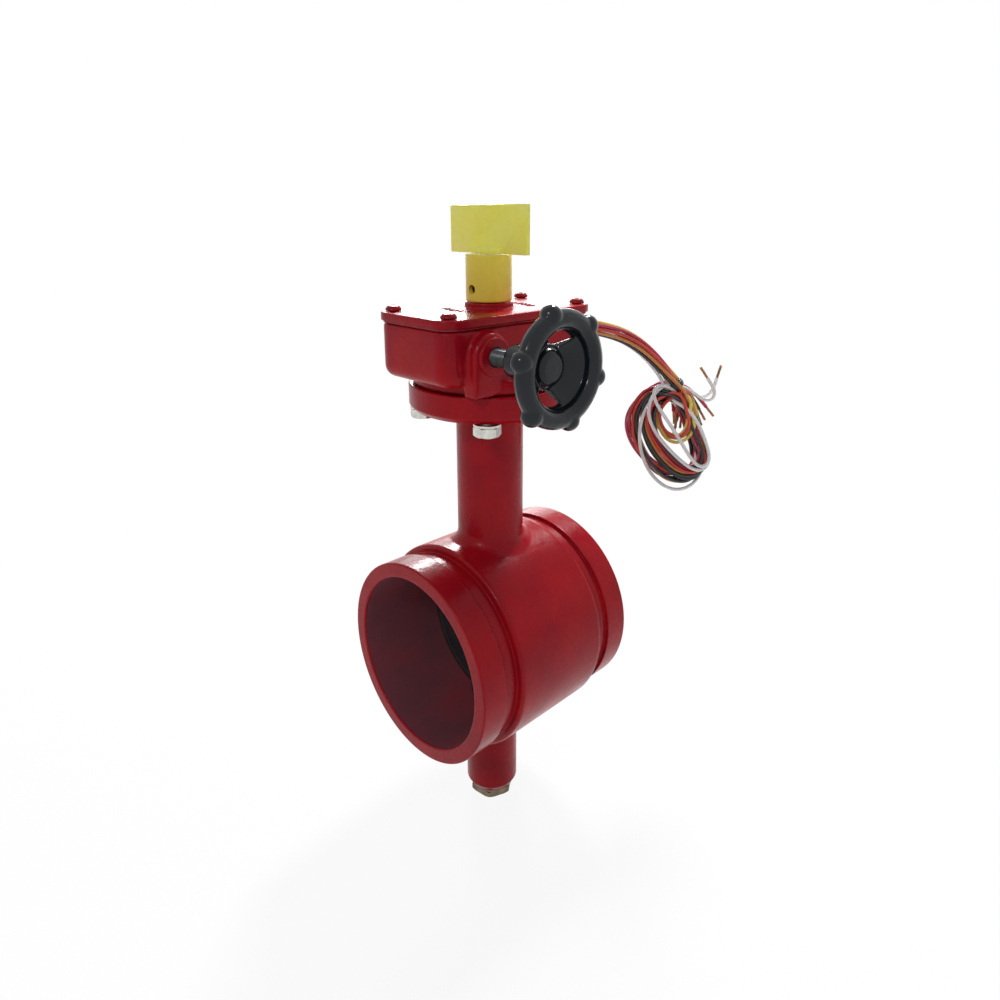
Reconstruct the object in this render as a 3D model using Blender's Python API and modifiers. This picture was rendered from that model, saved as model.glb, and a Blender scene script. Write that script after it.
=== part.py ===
"""Grooved-end butterfly valve with a worm gear operator, position flag and built-in supervisory switches.

Metres, +Z up the stem, +X along the pipe, the handwheel towards -Y.
The origin is where the pipe's axis meets the stem's axis. The valve is modelled shut.
"""
import math

import bmesh
import bpy
from mathutils import Matrix, Vector

# Running and seating gap between pieces that touch
GAP = 0.0003

# Pipe run, for 4 inch grooved pipe
RUN_LENGTH = 0.116
PIPE_R = 0.05715
BORE_R = 0.0489
BARREL_R = 0.0595
GASKET_SEAT = 0.01588
GROOVE_WIDTH = 0.00953
GROOVE_R = 0.05504
LIP_CHAMFER = 0.0012
BARREL_ROUND = 0.0022
RUN_STEPS = 40

# Neck, top flange and bottom boss
NECK_R = 0.0189
NECK_FILLET = 0.006
FLANGE_Z = 0.138
FLANGE_R = 0.0447
FLANGE_THICK = 0.0145
FLANGE_CHAMFER = 0.0028
BOSS_R = 0.0157
BOSS_Z = -0.1102
BOSS_TAPER = 0.0024
BOSS_TAPER_HEIGHT = 0.004
BOLT_CIRCLE_R = 0.0375
BOLT_R = 0.004
BOLT_HEAD_AF = 0.0127
BOLT_HEAD_H = 0.0051
WASHER_R = 0.0072
WASHER_THICK = 0.0014
BOLT_GRIP = 0.009

# Stems, bushings and seals
STEM_R = 0.0075
BUSH_WALL = 0.0018
LOWER_STEM_END_Z = -0.0975
STEM_IN_DISC_Z = 0.024
BUSH_LENGTH = 0.024
SEAL_HEIGHT = 0.003
PLUG_AF = 0.0235
PLUG_HEAD_H = 0.004
PLUG_WASHER_THICK = 0.0012
PLUG_SHANK = 0.009

# Disc
DISC_CLEAR = 0.0004
DISC_HALF_EDGE = 0.0045
DISC_HALF_HUB = 0.0075
DISC_HUB_R = 0.0125
DISC_HUB_Z = 0.0462
DISC_PIN_R = 0.0025
DISC_PIN_Z = 0.034

# Gear housing
BOX_HALF_X = 0.0538
BOX_HALF_Y = 0.0288
BOX_CORNER_R = 0.0098
BOX_FOOT_R = 0.0065
BOX_WALL = 0.004
BOX_FLOOR = 0.0045
PAD_R = 0.0425
PAD_HEIGHT = 0.0055
BOX_HEIGHT = 0.0286
GASKET_THICK = 0.0008
COVER_THICK = 0.0042
COVER_OVERHANG = 0.0012
COVER_EDGE_ROUND = 0.0008
COVER_SCREW_INSET_X = 0.0067
COVER_SCREW_INSET_Y = 0.0066
COVER_SCREW_R = 0.0025
COVER_SCREW_HEAD_R = 0.004
COVER_SCREW_HEAD_H = 0.0026
COVER_SCREW_SHANK = 0.014
POST_R = 0.0056
COLLAR_R = 0.0132
COLLAR_HEIGHT = 0.0032

# Worm pair
GEAR_MODULE = 0.0015
WHEEL_TEETH = 30
SECTOR_TEETH = 11
WORM_PITCH_R = 0.007
FLANK_BACKLASH = 0.0004
TIP_CLEAR = 0.0003
PRESSURE_ANGLE = math.radians(20)
WHEEL_THICK = 0.012
HUB_R = 0.0145
WORM_TURNS = 6
WORM_STEPS = 14
GEAR_RISE = 0.0108
KEY_WIDTH = 0.004
KEY_HEIGHT = 0.0036

# Worm shaft, its bearings and the handwheel
SHAFT_R = 0.0045
WORM_BUSH_WALL = 0.0022
FRONT_BOSS_R = 0.0118
FRONT_BOSS_REACH = 0.0062
NOSE_REACH = 0.0018
NOSE_LIP = 0.0014
REAR_CAP_R = 0.0098
SHAFT_SEAL_LENGTH = 0.0022
WHEEL_BACK = 0.0485
HANDWHEEL_DEPTH = 0.0255
HANDWHEEL_HUB_R = 0.0084
RIM_R = 0.0229
RIM_SECTION_R = 0.0048
RIM_S = 0.0296
KNOB_R = 0.0052
KNOB_COUNT = 6
KNOB_CENTRE_R = 0.0258
KNOB_ANGLE = math.radians(-15)
WINDOW_INNER_R = 0.0108
WINDOW_OUTER_R = 0.0176
WINDOW_ARC = math.radians(58)
WINDOW_ANGLE = math.radians(75)
WINDOW_COUNT = 2
HANDWHEEL_PIN_R = 0.0016

# Travel stops
STOP_Y = 0.0158
STOP_R = 0.003
STOP_NUT_AF = 0.010
STOP_NUT_THICK = 0.005
STOP_TAIL = 0.006
OPENING_ANGLE = math.radians(90)

# Supervisory switches
CAM_R = 0.0172
CAM_THICK = 0.005
SWITCH_DEPTH = 0.0102
SWITCH_WIDTH = 0.0064
SWITCH_HEIGHT = 0.0198
SWITCH_FACE_X = 0.0235
PLUNGER_R = 0.0015
PLUNGER_TRAVEL = 0.0012
SWITCH_SCREW_R = 0.0011
BRACKET_THICK = 0.002
BRACKET_FOOT = 0.012
BRACKET_SCREW_R = 0.0015

# Position indicator
SLEEVE_R = 0.0125
SLEEVE_HEIGHT = 0.0247
SLEEVE_PIN_R = 0.0022
FLAG_WIDTH = 0.0585
FLAG_HEIGHT = 0.0252
FLAG_THICK = 0.003
WELD_R = 0.0032
WELD_LENGTH = 0.021

# Leads
BUNDLE_R = 0.0052
BUNDLE_EXIT_Z = 0.178
CONDUIT_WALL = 0.0016
CONDUIT_FLANGE = 0.002
HANK_HALF_WIDTH = 0.0285
HANK_HALF_HEIGHT = 0.0365
HANK_INNER_HALF_WIDTH = 0.0135
HANK_THICK = 0.017
HANK_TOP = Vector((0.1405, -0.0395, 0.1350))
HANK_TURN = math.radians(-45)
WRAP_LENGTH = 0.007

# Places that follow from the sizes above
FLANGE_TOP_Z = FLANGE_Z + FLANGE_THICK
PAD_Z = FLANGE_TOP_Z + GAP
BOX_Z = PAD_Z + PAD_HEIGHT
FLOOR_Z = BOX_Z + BOX_FLOOR
BOX_TOP_Z = BOX_Z + BOX_HEIGHT
GASKET_Z = BOX_TOP_Z + GAP
COVER_Z = GASKET_Z + GASKET_THICK + GAP
COVER_TOP_Z = COVER_Z + COVER_THICK
COLLAR_TOP_Z = COVER_TOP_Z + COLLAR_HEIGHT
SLEEVE_Z = COLLAR_TOP_Z + GAP
SLEEVE_TOP_Z = SLEEVE_Z + SLEEVE_HEIGHT
WHEEL_PITCH_R = GEAR_MODULE * WHEEL_TEETH / 2
WORM_X = -(WHEEL_PITCH_R + WORM_PITCH_R)
GEAR_Z = FLOOR_Z + GEAR_RISE
WORM_LEAD = math.pi * GEAR_MODULE
WORM_LENGTH = WORM_TURNS * WORM_LEAD
TOOTH_PITCH = 2 * math.pi / WHEEL_TEETH
BUSH_R = STEM_R + GAP + BUSH_WALL
INNER_HALF_X = BOX_HALF_X - BOX_WALL
INNER_HALF_Y = BOX_HALF_Y - BOX_WALL

PARTS = "supervised_butterfly_valve"
CUTTERS = "cutters"

RED = (0.42, 0.012, 0.016, 1.0)
SCREW_RED = (0.33, 0.012, 0.016, 1.0)
YELLOW = (0.80, 0.55, 0.03, 1.0)
BLACK = (0.012, 0.014, 0.016, 1.0)
STEEL = (0.55, 0.55, 0.53, 1.0)
BRASS = (0.55, 0.42, 0.18, 1.0)
BRONZE = (0.45, 0.27, 0.12, 1.0)
IRON = (0.22, 0.22, 0.23, 1.0)
RUBBER = (0.02, 0.02, 0.02, 1.0)
PLASTIC = (0.05, 0.05, 0.06, 1.0)
WIRE_RED = (0.5, 0.03, 0.03, 1.0)


def clear_scene():
    for item in list(bpy.data.objects):
        bpy.data.objects.remove(item, do_unlink=True)
    for name in (PARTS, CUTTERS):
        group = bpy.data.collections.new(name)
        bpy.context.scene.collection.children.link(group)


def finish(name, colour, roughness, metallic):
    """A plain material for one sub-part."""
    material = bpy.data.materials.new(name)
    material.use_nodes = True
    shader = material.node_tree.nodes["Principled BSDF"]
    shader.inputs["Base Color"].default_value = colour
    shader.inputs["Roughness"].default_value = roughness
    shader.inputs["Metallic"].default_value = metallic
    return material


def place(name, mesh, look=None, group=PARTS):
    """A new object in its collection, a cutter when no look is given."""
    item = bpy.data.objects.new(name, mesh)
    if look is None:
        group = CUTTERS
        item.hide_render = True
        item.display_type = "WIRE"
    else:
        mesh.materials.append(finish(name, *look))
    bpy.data.collections[group].objects.link(item)
    return item


PAINT = (RED, 0.35, 0.0)
SCREW_PAINT = (SCREW_RED, 0.35, 0.0)
YELLOW_PAINT = (YELLOW, 0.4, 0.0)
BLACK_PAINT = (BLACK, 0.22, 0.0)
BRIGHT_STEEL = (STEEL, 0.3, 1.0)
DARK_STEEL = (IRON, 0.4, 1.0)
PLAIN_BRASS = (BRASS, 0.35, 1.0)
PLAIN_BRONZE = (BRONZE, 0.4, 1.0)
BLACK_RUBBER = (RUBBER, 0.6, 0.0)
BLACK_PLASTIC = (PLASTIC, 0.45, 0.0)
LEAD_PLASTIC = (WIRE_RED, 0.4, 0.0)

TURN_TO_FRONT = Matrix.Rotation(math.pi / 2, 4, "X")
TURN_TO_X = Matrix.Rotation(math.pi / 2, 4, "Y")


def arc(centre, radius, start, end, count):
    """Points on a circle from one angle to another, in radians."""
    points = []
    for step in range(count + 1):
        angle = start + (end - start) * step / count
        points.append((centre[0] + radius * math.cos(angle), centre[1] + radius * math.sin(angle)))
    return points


def turned(name, profile, look=None, steps=16, ring=False, matrix=None):
    """A profile of (radius, height) points, turned about its axis by a Screw modifier."""
    mesh = bpy.data.meshes.new(name)
    verts = [(radius, 0.0, height) for radius, height in profile]
    edges = [(index, index + 1) for index in range(len(verts) - 1)]
    if ring:
        edges.append((len(verts) - 1, 0))
    mesh.from_pydata(verts, edges, [])
    item = place(name, mesh, look)
    screw = item.modifiers.new("Turn", "SCREW")
    screw.axis = "Z"
    screw.steps = steps
    screw.render_steps = steps
    screw.use_merge_vertices = True
    screw.merge_threshold = 0.000001
    screw.use_smooth_shade = True
    if matrix is not None:
        item.matrix_world = matrix
    return item


def rod(name, radius, low, high, look=None, steps=16, chamfer=0.0, matrix=None):
    """A round bar along its axis, with a chamfer at both ends if asked."""
    if chamfer > 0:
        profile = [(0, high), (radius - chamfer, high), (radius, high - chamfer)]
        profile += [(radius, low + chamfer), (radius - chamfer, low), (0, low)]
    else:
        profile = [(0, high), (radius, high), (radius, low), (0, low)]
    return turned(name, profile, look, steps, matrix=matrix)


def sleeve(name, inner, outer, low, high, look=None, steps=16, matrix=None):
    """A plain tube."""
    profile = [(inner, high), (outer, high), (outer, low), (inner, low)]
    return turned(name, profile, look, steps, ring=True, matrix=matrix)


def outlined(name, outline, low, high, look=None, holes=(), matrix=None):
    """A flat outline as a 2D curve, extruded between two heights and made a mesh."""
    curve = bpy.data.curves.new(name, "CURVE")
    curve.dimensions = "2D"
    curve.fill_mode = "BOTH"
    curve.extrude = (high - low) / 2
    for loop in (outline, *holes):
        spline = curve.splines.new("POLY")
        spline.points.add(len(loop) - 1)
        spline.use_cyclic_u = True
        for point, (x, y) in zip(spline.points, loop):
            point.co = (x, y, 0.0, 1.0)
    guide = bpy.data.objects.new(name + "_outline", curve)
    bpy.context.scene.collection.objects.link(guide)
    guide.location.z = (high + low) / 2
    if matrix is not None:
        guide.matrix_world = matrix @ Matrix.Translation((0, 0, (high + low) / 2))
    bpy.context.view_layer.update()
    mesh = bpy.data.meshes.new_from_object(guide.evaluated_get(bpy.context.evaluated_depsgraph_get()))
    work = bmesh.new()
    work.from_mesh(mesh)
    bmesh.ops.remove_doubles(work, verts=work.verts, dist=0.000001)
    bmesh.ops.recalc_face_normals(work, faces=work.faces)
    work.to_mesh(mesh)
    work.free()
    mesh.materials.clear()
    item = place(name, mesh, look)
    item.matrix_world = guide.matrix_world.copy()
    bpy.data.objects.remove(guide, do_unlink=True)
    return item


def hexagon(across_flats, turn=0.0):
    """The six corners of a hexagon given its width across flats."""
    corner_r = across_flats / math.sqrt(3)
    return [(corner_r * math.cos(turn + k * math.pi / 3), corner_r * math.sin(turn + k * math.pi / 3))
            for k in range(6)]


def block(name, low, high, look=None, upright_r=0.0, foot_r=0.0, top_r=0.0, segments=4):
    """A box between two corners, its upright edges rounded and then its foot or its top."""
    work = bmesh.new()
    bmesh.ops.create_cube(work, size=1.0)
    low = Vector(low)
    high = Vector(high)
    size = high - low
    bmesh.ops.scale(work, vec=size, verts=work.verts)
    bmesh.ops.translate(work, vec=(low + high) / 2, verts=work.verts)
    if upright_r > 0:
        upright = [edge for edge in work.edges if abs(edge.verts[0].co.z - edge.verts[1].co.z) > size.z / 2]
        bmesh.ops.bevel(work, geom=upright, offset=upright_r, segments=segments, profile=0.5, affect="EDGES")
    for radius, level in ((foot_r, low.z), (top_r, high.z)):
        if radius > 0:
            loop = [edge for edge in work.edges if all(abs(vert.co.z - level) < 0.000001 for vert in edge.verts)]
            bmesh.ops.bevel(work, geom=loop, offset=radius, segments=2, profile=0.5, affect="EDGES")
    mesh = bpy.data.meshes.new(name)
    work.to_mesh(mesh)
    work.free()
    return place(name, mesh, look)


def combine(item, tools, operation):
    """One Boolean modifier on an item, with its tool or with a collection of its tools."""
    step = item.modifiers.new(tools[0].name, "BOOLEAN")
    step.operation = operation
    step.solver = "EXACT"
    if len(tools) == 1:
        step.object = tools[0]
        return
    group = bpy.data.collections.new(f"{item.name}_{tools[0].name}")
    bpy.data.collections[CUTTERS].children.link(group)
    for tool in tools:
        bpy.data.collections[CUTTERS].objects.unlink(tool)
        group.objects.link(tool)
    step.operand_type = "COLLECTION"
    step.collection = group


def at(x, y, z, turn=None):
    """A place, turned first if asked."""
    spot = Matrix.Translation((x, y, z))
    return spot if turn is None else spot @ turn


def bolt_places():
    """The four flange bolts, at 45 degrees to the pipe."""
    return [(BOLT_CIRCLE_R * math.cos(math.radians(45 + 90 * k)),
             BOLT_CIRCLE_R * math.sin(math.radians(45 + 90 * k))) for k in range(4)]


def cover_screw_places():
    screw_x = BOX_HALF_X - COVER_SCREW_INSET_X
    screw_y = BOX_HALF_Y - COVER_SCREW_INSET_Y
    return [(side_x * screw_x, side_y * screw_y) for side_x in (-1, 1) for side_y in (-1, 1)]


def run_profile():
    """Half of the grooved run's outer profile, from the lip to the barrel."""
    lip_x = RUN_LENGTH / 2
    seat_x = lip_x - GASKET_SEAT
    barrel_x = seat_x - GROOVE_WIDTH
    half = [(PIPE_R - LIP_CHAMFER, lip_x), (PIPE_R, lip_x - LIP_CHAMFER), (PIPE_R, seat_x)]
    half += [(GROOVE_R, seat_x), (GROOVE_R, barrel_x)]
    centre = (BARREL_R - BARREL_ROUND, barrel_x - BARREL_ROUND)
    half += arc(centre, BARREL_ROUND, math.pi / 2, 0, 2)
    return half


def make_body():
    half = run_profile()
    lip_x = RUN_LENGTH / 2
    profile = half + [(radius, -x) for radius, x in reversed(half)]
    profile += [(BORE_R + LIP_CHAMFER, -lip_x), (BORE_R, -lip_x + LIP_CHAMFER)]
    profile += [(BORE_R, lip_x - LIP_CHAMFER), (BORE_R + LIP_CHAMFER, lip_x)]
    body = turned("valve_body", profile, PAINT, RUN_STEPS, ring=True, matrix=TURN_TO_X)
    fillet = [(radius, z) for radius, z in
              arc((NECK_R + NECK_FILLET, BARREL_R + NECK_FILLET - 0.001), NECK_FILLET, math.pi, 1.5 * math.pi, 3)]
    under = [(radius, z) for radius, z in
             arc((NECK_R + 0.003, FLANGE_Z - 0.003), 0.003, math.pi / 2, math.pi, 2)]
    root_z = BORE_R + 0.0025
    neck = turned("neck_core", [
        (0, FLANGE_TOP_Z), (FLANGE_R - 0.0008, FLANGE_TOP_Z), (FLANGE_R, FLANGE_TOP_Z - 0.0008),
        (FLANGE_R, FLANGE_Z + FLANGE_CHAMFER), (FLANGE_R - FLANGE_CHAMFER, FLANGE_Z),
        *under, *fillet, (NECK_R + NECK_FILLET, root_z), (0, root_z)], steps=32)
    boss = turned("boss_core", [
        (0, -root_z), (BOSS_R + 0.004, -root_z), (BOSS_R + 0.004, -BARREL_R + 0.001),
        *arc((BOSS_R + 0.004, -BARREL_R - 0.003), 0.004, math.pi / 2, math.pi, 3),
        (BOSS_R, BOSS_Z + BOSS_TAPER_HEIGHT), (BOSS_R - BOSS_TAPER, BOSS_Z), (0, BOSS_Z)], steps=20)
    combine(body, (neck, boss), "UNION")
    stem_hole = rod("stem_hole", BUSH_R + GAP, 0, FLANGE_TOP_Z + 0.01)
    boss_hole = rod("boss_hole", BUSH_R + GAP, BOSS_Z - 0.01, 0)
    holes = [stem_hole, boss_hole]
    for index, (x, y) in enumerate(bolt_places()):
        holes.append(rod(f"flange_hole_{index + 1}", BOLT_R + GAP, FLANGE_Z - 0.01, FLANGE_TOP_Z + 0.01,
                         steps=10, matrix=at(x, y, 0)))
    combine(body, holes, "DIFFERENCE")


def make_disc():
    """The rubber-faced disc, rounded like a ball at its rim so that it turns in the bore."""
    rim_r = BORE_R - DISC_CLEAR
    edge_r = math.sqrt(rim_r ** 2 - DISC_HALF_EDGE ** 2)
    half = [(0, DISC_HALF_HUB), (DISC_HUB_R * 1.3, DISC_HALF_HUB), (DISC_HUB_R * 2.2, DISC_HALF_EDGE)]
    half += [(edge_r - 0.001, DISC_HALF_EDGE)]
    edge_angle = math.asin((DISC_HALF_EDGE - 0.0008) / rim_r)
    rim = arc((0, 0), rim_r, edge_angle, -edge_angle, 4)
    profile = half + rim + [(radius, -x) for radius, x in reversed(half)]
    disc = turned("rubber_faced_disc", profile, BLACK_RUBBER, 36, matrix=TURN_TO_X)
    hub = rod("disc_hub", DISC_HUB_R, -DISC_HUB_Z, DISC_HUB_Z, chamfer=0.0012, steps=16)
    combine(disc, (hub,), "UNION")
    upper = rod("disc_bore_upper", STEM_R + GAP, STEM_IN_DISC_Z, BORE_R, steps=16)
    lower = rod("disc_bore_lower", STEM_R + GAP, -BORE_R, -STEM_IN_DISC_Z, steps=16)
    holes = [upper, lower]
    for sign, place_name in ((1, "upper"), (-1, "lower")):
        holes.append(rod(f"disc_pin_hole_{place_name}", DISC_PIN_R + GAP, -0.02, 0.02, steps=10,
                         matrix=at(0, 0, sign * DISC_PIN_Z, TURN_TO_X)))
        pin_half = math.sqrt(DISC_HUB_R ** 2 - DISC_PIN_R ** 2)
        rod(f"disc_pin_{place_name}", DISC_PIN_R, -pin_half, pin_half, BRIGHT_STEEL, 10, 0.0004,
            matrix=at(0, 0, sign * DISC_PIN_Z, TURN_TO_X))
    combine(disc, holes, "DIFFERENCE")


def make_stems():
    tip_z = SLEEVE_TOP_Z - 0.006
    upper = rod("upper_stem", STEM_R, STEM_IN_DISC_Z + GAP, tip_z, BRIGHT_STEEL, 16, 0.0008)
    lower = rod("lower_stem", STEM_R, LOWER_STEM_END_Z, -STEM_IN_DISC_Z - GAP, BRIGHT_STEEL, 16, 0.0008)
    for sign, stem in ((1, upper), (-1, lower)):
        hole = rod(stem.name + "_pin_hole", DISC_PIN_R + GAP, -0.01, 0.01, steps=10,
                   matrix=at(0, 0, sign * DISC_PIN_Z, TURN_TO_X))
        combine(stem, (hole,), "DIFFERENCE")
    sleeve_pin_z = SLEEVE_Z + SLEEVE_HEIGHT * 0.27
    hole = rod("stem_sleeve_pin_hole", SLEEVE_PIN_R + GAP, -0.01, 0.01, steps=10,
               matrix=at(0, 0, sleeve_pin_z, TURN_TO_X))
    keyway = block("stem_keyway", (STEM_R - KEY_HEIGHT / 2, -KEY_WIDTH / 2 - GAP, GEAR_Z - WHEEL_THICK / 2 - GAP),
                   (STEM_R + KEY_HEIGHT, KEY_WIDTH / 2 + GAP, GEAR_Z + WHEEL_THICK / 2 + GAP))
    combine(upper, (hole, keyway), "DIFFERENCE")
    block("wheel_key", (STEM_R - KEY_HEIGHT / 2 + GAP, -KEY_WIDTH / 2, GEAR_Z - WHEEL_THICK / 2),
          (STEM_R + KEY_HEIGHT / 2, KEY_WIDTH / 2, GEAR_Z + WHEEL_THICK / 2), DARK_STEEL)

    seal_in_z = BORE_R + 0.004
    bush_z = seal_in_z + SEAL_HEIGHT + GAP
    top_bush_z = FLANGE_TOP_Z - BUSH_LENGTH
    sleeve("lower_neck_bushing", STEM_R + GAP, BUSH_R, bush_z, bush_z + BUSH_LENGTH, PLAIN_BRONZE)
    sleeve("upper_neck_bushing", STEM_R + GAP, BUSH_R, top_bush_z, FLANGE_TOP_Z - GAP, PLAIN_BRONZE)
    sleeve("bottom_bushing", STEM_R + GAP, BUSH_R, -bush_z - BUSH_LENGTH, -bush_z, PLAIN_BRONZE)
    for name, z in (("neck_seal_lower", seal_in_z), ("neck_seal_upper", top_bush_z - GAP - SEAL_HEIGHT),
                    ("bottom_stem_seal", -seal_in_z - SEAL_HEIGHT)):
        middle = (STEM_R + GAP + BUSH_R) / 2
        half = (BUSH_R - STEM_R - GAP) / 2
        profile = [(middle - half, z + SEAL_HEIGHT / 2), (middle - half * 0.4, z + SEAL_HEIGHT),
                   (middle + half * 0.4, z + SEAL_HEIGHT), (middle + half, z + SEAL_HEIGHT / 2),
                   (middle + half * 0.4, z), (middle - half * 0.4, z)]
        turned(name, profile, BLACK_RUBBER, 14, ring=True)


def make_plug():
    """The hex plug that closes the bottom boss, on its sealing washer."""
    washer_top = BOSS_Z - GAP
    washer_low = washer_top - PLUG_WASHER_THICK
    head_top = washer_low - GAP
    shank_r = BUSH_R
    sleeve("bottom_plug_washer", shank_r + GAP, BOSS_R - BOSS_TAPER - 0.0002, washer_low, washer_top, PLAIN_BRASS)
    head_low = head_top - PLUG_HEAD_H
    plug = outlined("bottom_plug", hexagon(PLUG_AF, math.radians(8)), head_low, head_top, PLAIN_BRASS)
    corner_r = PLUG_AF / math.sqrt(3)
    chamfer = turned("plug_corner_round", [
        (0, head_top + 0.001), (corner_r - 0.0004, head_top + 0.001), (corner_r + 0.0002, head_top - 0.001),
        (corner_r + 0.0002, head_low + 0.001), (corner_r - 0.0016, head_low - 0.0002), (0, head_low - 0.0002)],
        steps=20)
    combine(plug, (chamfer,), "INTERSECT")
    shank = rod("plug_shank", shank_r, head_top - 0.002, BOSS_Z + PLUG_SHANK)
    combine(plug, (shank,), "UNION")


def make_flange_bolts():
    for index, (x, y) in enumerate(bolt_places()):
        washer_top = FLANGE_Z - GAP
        washer_low = washer_top - WASHER_THICK
        spot = at(x, y, 0)
        sleeve(f"flange_washer_{index + 1}", BOLT_R + GAP, WASHER_R, washer_low, washer_top, BRIGHT_STEEL, 16,
               matrix=spot)
        head_top = washer_low - GAP
        turn = math.radians(15 + 20 * index)
        bolt = outlined(f"flange_bolt_{index + 1}", hexagon(BOLT_HEAD_AF, turn), head_top - BOLT_HEAD_H, head_top,
                        BRIGHT_STEEL, matrix=spot)
        corner_r = BOLT_HEAD_AF / math.sqrt(3)
        low = head_top - BOLT_HEAD_H
        chamfer = turned(f"bolt_head_round_{index + 1}", [
            (0, head_top + 0.001), (corner_r + 0.0003, head_top + 0.001), (corner_r + 0.0003, low + 0.0008),
            (corner_r - 0.0011, low - 0.0002), (0, low - 0.0002)], steps=20, matrix=spot)
        combine(bolt, (chamfer,), "INTERSECT")
        shank = rod(f"bolt_shank_{index + 1}", BOLT_R, head_top - 0.001, FLANGE_TOP_Z + BOLT_GRIP, steps=10,
                    matrix=spot)
        combine(bolt, (shank,), "UNION")


def cover_posts(owner, low):
    """Guides for the four corner posts that take the cover screws."""
    posts = []
    for index, (x, y) in enumerate(cover_screw_places()):
        posts.append(rod(f"{owner}_post_{index + 1}", POST_R, low, COVER_TOP_Z, steps=16, matrix=at(x, y, 0)))
    return posts


def nose_front():
    """How far in front of the stem the worm shaft leaves the housing."""
    return BOX_HALF_Y + FRONT_BOSS_REACH + NOSE_REACH


def make_housing():
    box = block("gear_housing", (-BOX_HALF_X, -BOX_HALF_Y, BOX_Z), (BOX_HALF_X, BOX_HALF_Y, BOX_TOP_Z), PAINT,
                upright_r=BOX_CORNER_R, foot_r=BOX_FOOT_R)
    pad = turned("housing_pad", [(0, BOX_Z + BOX_FLOOR / 2), (PAD_R, BOX_Z + BOX_FLOOR / 2), (PAD_R, PAD_Z + 0.0006),
                                 (PAD_R - 0.0006, PAD_Z), (0, PAD_Z)], steps=32)
    boss_front = BOX_HALF_Y + FRONT_BOSS_REACH
    skirt_z = PAD_Z + 0.0008
    arch = arc((0, GEAR_Z), FRONT_BOSS_R, 0, math.pi, 10)
    outline = [(x + WORM_X, z) for x, z in arch]
    outline += [(WORM_X - FRONT_BOSS_R * 1.02, skirt_z), (WORM_X + FRONT_BOSS_R * 1.02, skirt_z)]
    front_boss = outlined("front_boss", outline, BOX_HALF_Y - BOX_WALL / 2, boss_front, matrix=TURN_TO_FRONT)
    face_r = FRONT_BOSS_R - 0.0022
    nose = turned("front_nose", [
        (0, nose_front()), (face_r - 0.0012, nose_front()), (face_r, boss_front + 0.0006),
        (face_r + 0.0008, boss_front - 0.001), (0, boss_front - 0.001)],
        steps=16, matrix=at(WORM_X, 0, GEAR_Z, TURN_TO_FRONT))
    combine(box, (pad, front_boss, nose), "UNION")
    inner_r = BOX_CORNER_R - BOX_WALL
    cavity = block("housing_cavity", (-INNER_HALF_X, -INNER_HALF_Y, FLOOR_Z), (INNER_HALF_X, INNER_HALF_Y,
                   BOX_TOP_Z + 0.01), upright_r=inner_r, foot_r=0.002)
    combine(cavity, cover_posts("cavity", BOX_TOP_Z - COVER_SCREW_SHANK - 0.003), "DIFFERENCE")
    combine(box, (cavity,), "DIFFERENCE")
    rear_boss = rod("rear_boss", REAR_CAP_R + 0.003, -BOX_HALF_Y + 0.001, -INNER_HALF_Y + 0.0035, steps=16,
                    matrix=at(WORM_X, 0, GEAR_Z, TURN_TO_FRONT))
    combine(box, (rear_boss,), "UNION")

    bush_r = SHAFT_R + GAP + WORM_BUSH_WALL
    holes = [
        rod("front_bearing_hole", bush_r + GAP, 0, nose_front() - NOSE_LIP, steps=16,
            matrix=at(WORM_X, 0, GEAR_Z, TURN_TO_FRONT)),
        rod("shaft_pass", SHAFT_R + 2 * GAP, 0, nose_front() + 0.01, steps=16,
            matrix=at(WORM_X, 0, GEAR_Z, TURN_TO_FRONT)),
        rod("rear_bearing_hole", REAR_CAP_R, -BOX_HALF_Y - 0.01, 0, steps=16,
            matrix=at(WORM_X, 0, GEAR_Z, TURN_TO_FRONT)),
        rod("stem_pass", STEM_R + 0.0006, PAD_Z - 0.01, FLOOR_Z + 0.01, steps=16),
        rod("lead_hole", BUNDLE_R + CONDUIT_WALL + 2 * GAP, INNER_HALF_X - 0.01, BOX_HALF_X + 0.01, steps=16,
            matrix=at(0, 0, BUNDLE_EXIT_Z, TURN_TO_X)),
    ]
    for sign in (-1, 1):
        holes.append(rod(f"stop_hole_{sign + 2}", STOP_R + GAP, INNER_HALF_X - 0.01, BOX_HALF_X + 0.01, steps=10,
                         matrix=at(0, sign * STOP_Y, GEAR_Z, TURN_TO_X)))
    for index, (x, y) in enumerate(bolt_places()):
        holes.append(rod(f"housing_bolt_hole_{index + 1}", BOLT_R + GAP, PAD_Z - 0.01,
                         FLANGE_TOP_Z + BOLT_GRIP + GAP, steps=10, matrix=at(x, y, 0)))
    for index, (x, y) in enumerate(cover_screw_places()):
        holes.append(rod(f"cover_screw_hole_{index + 1}", COVER_SCREW_R + GAP,
                         BOX_TOP_Z - COVER_SCREW_SHANK - GAP, BOX_TOP_Z + 0.01, steps=10, matrix=at(x, y, 0)))
    for index, x in enumerate(bracket_screw_xs()):
        holes.append(rod(f"bracket_screw_hole_{index + 1}", BRACKET_SCREW_R + GAP, FLOOR_Z - 0.0035 - GAP,
                         FLOOR_Z + 0.01, steps=10, matrix=at(x, -bracket_screw_front(), 0)))
    combine(box, holes, "DIFFERENCE")


def rounded_outline(half_x, half_y, radius, count=5):
    """A rectangle with round corners."""
    outline = []
    for quarter in range(4):
        start = quarter * math.pi / 2
        side_x = 1 if quarter in (0, 3) else -1
        side_y = 1 if quarter in (0, 1) else -1
        centre = (side_x * (half_x - radius), side_y * (half_y - radius))
        outline += arc(centre, radius, start, start + math.pi / 2, count)
    return outline


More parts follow.
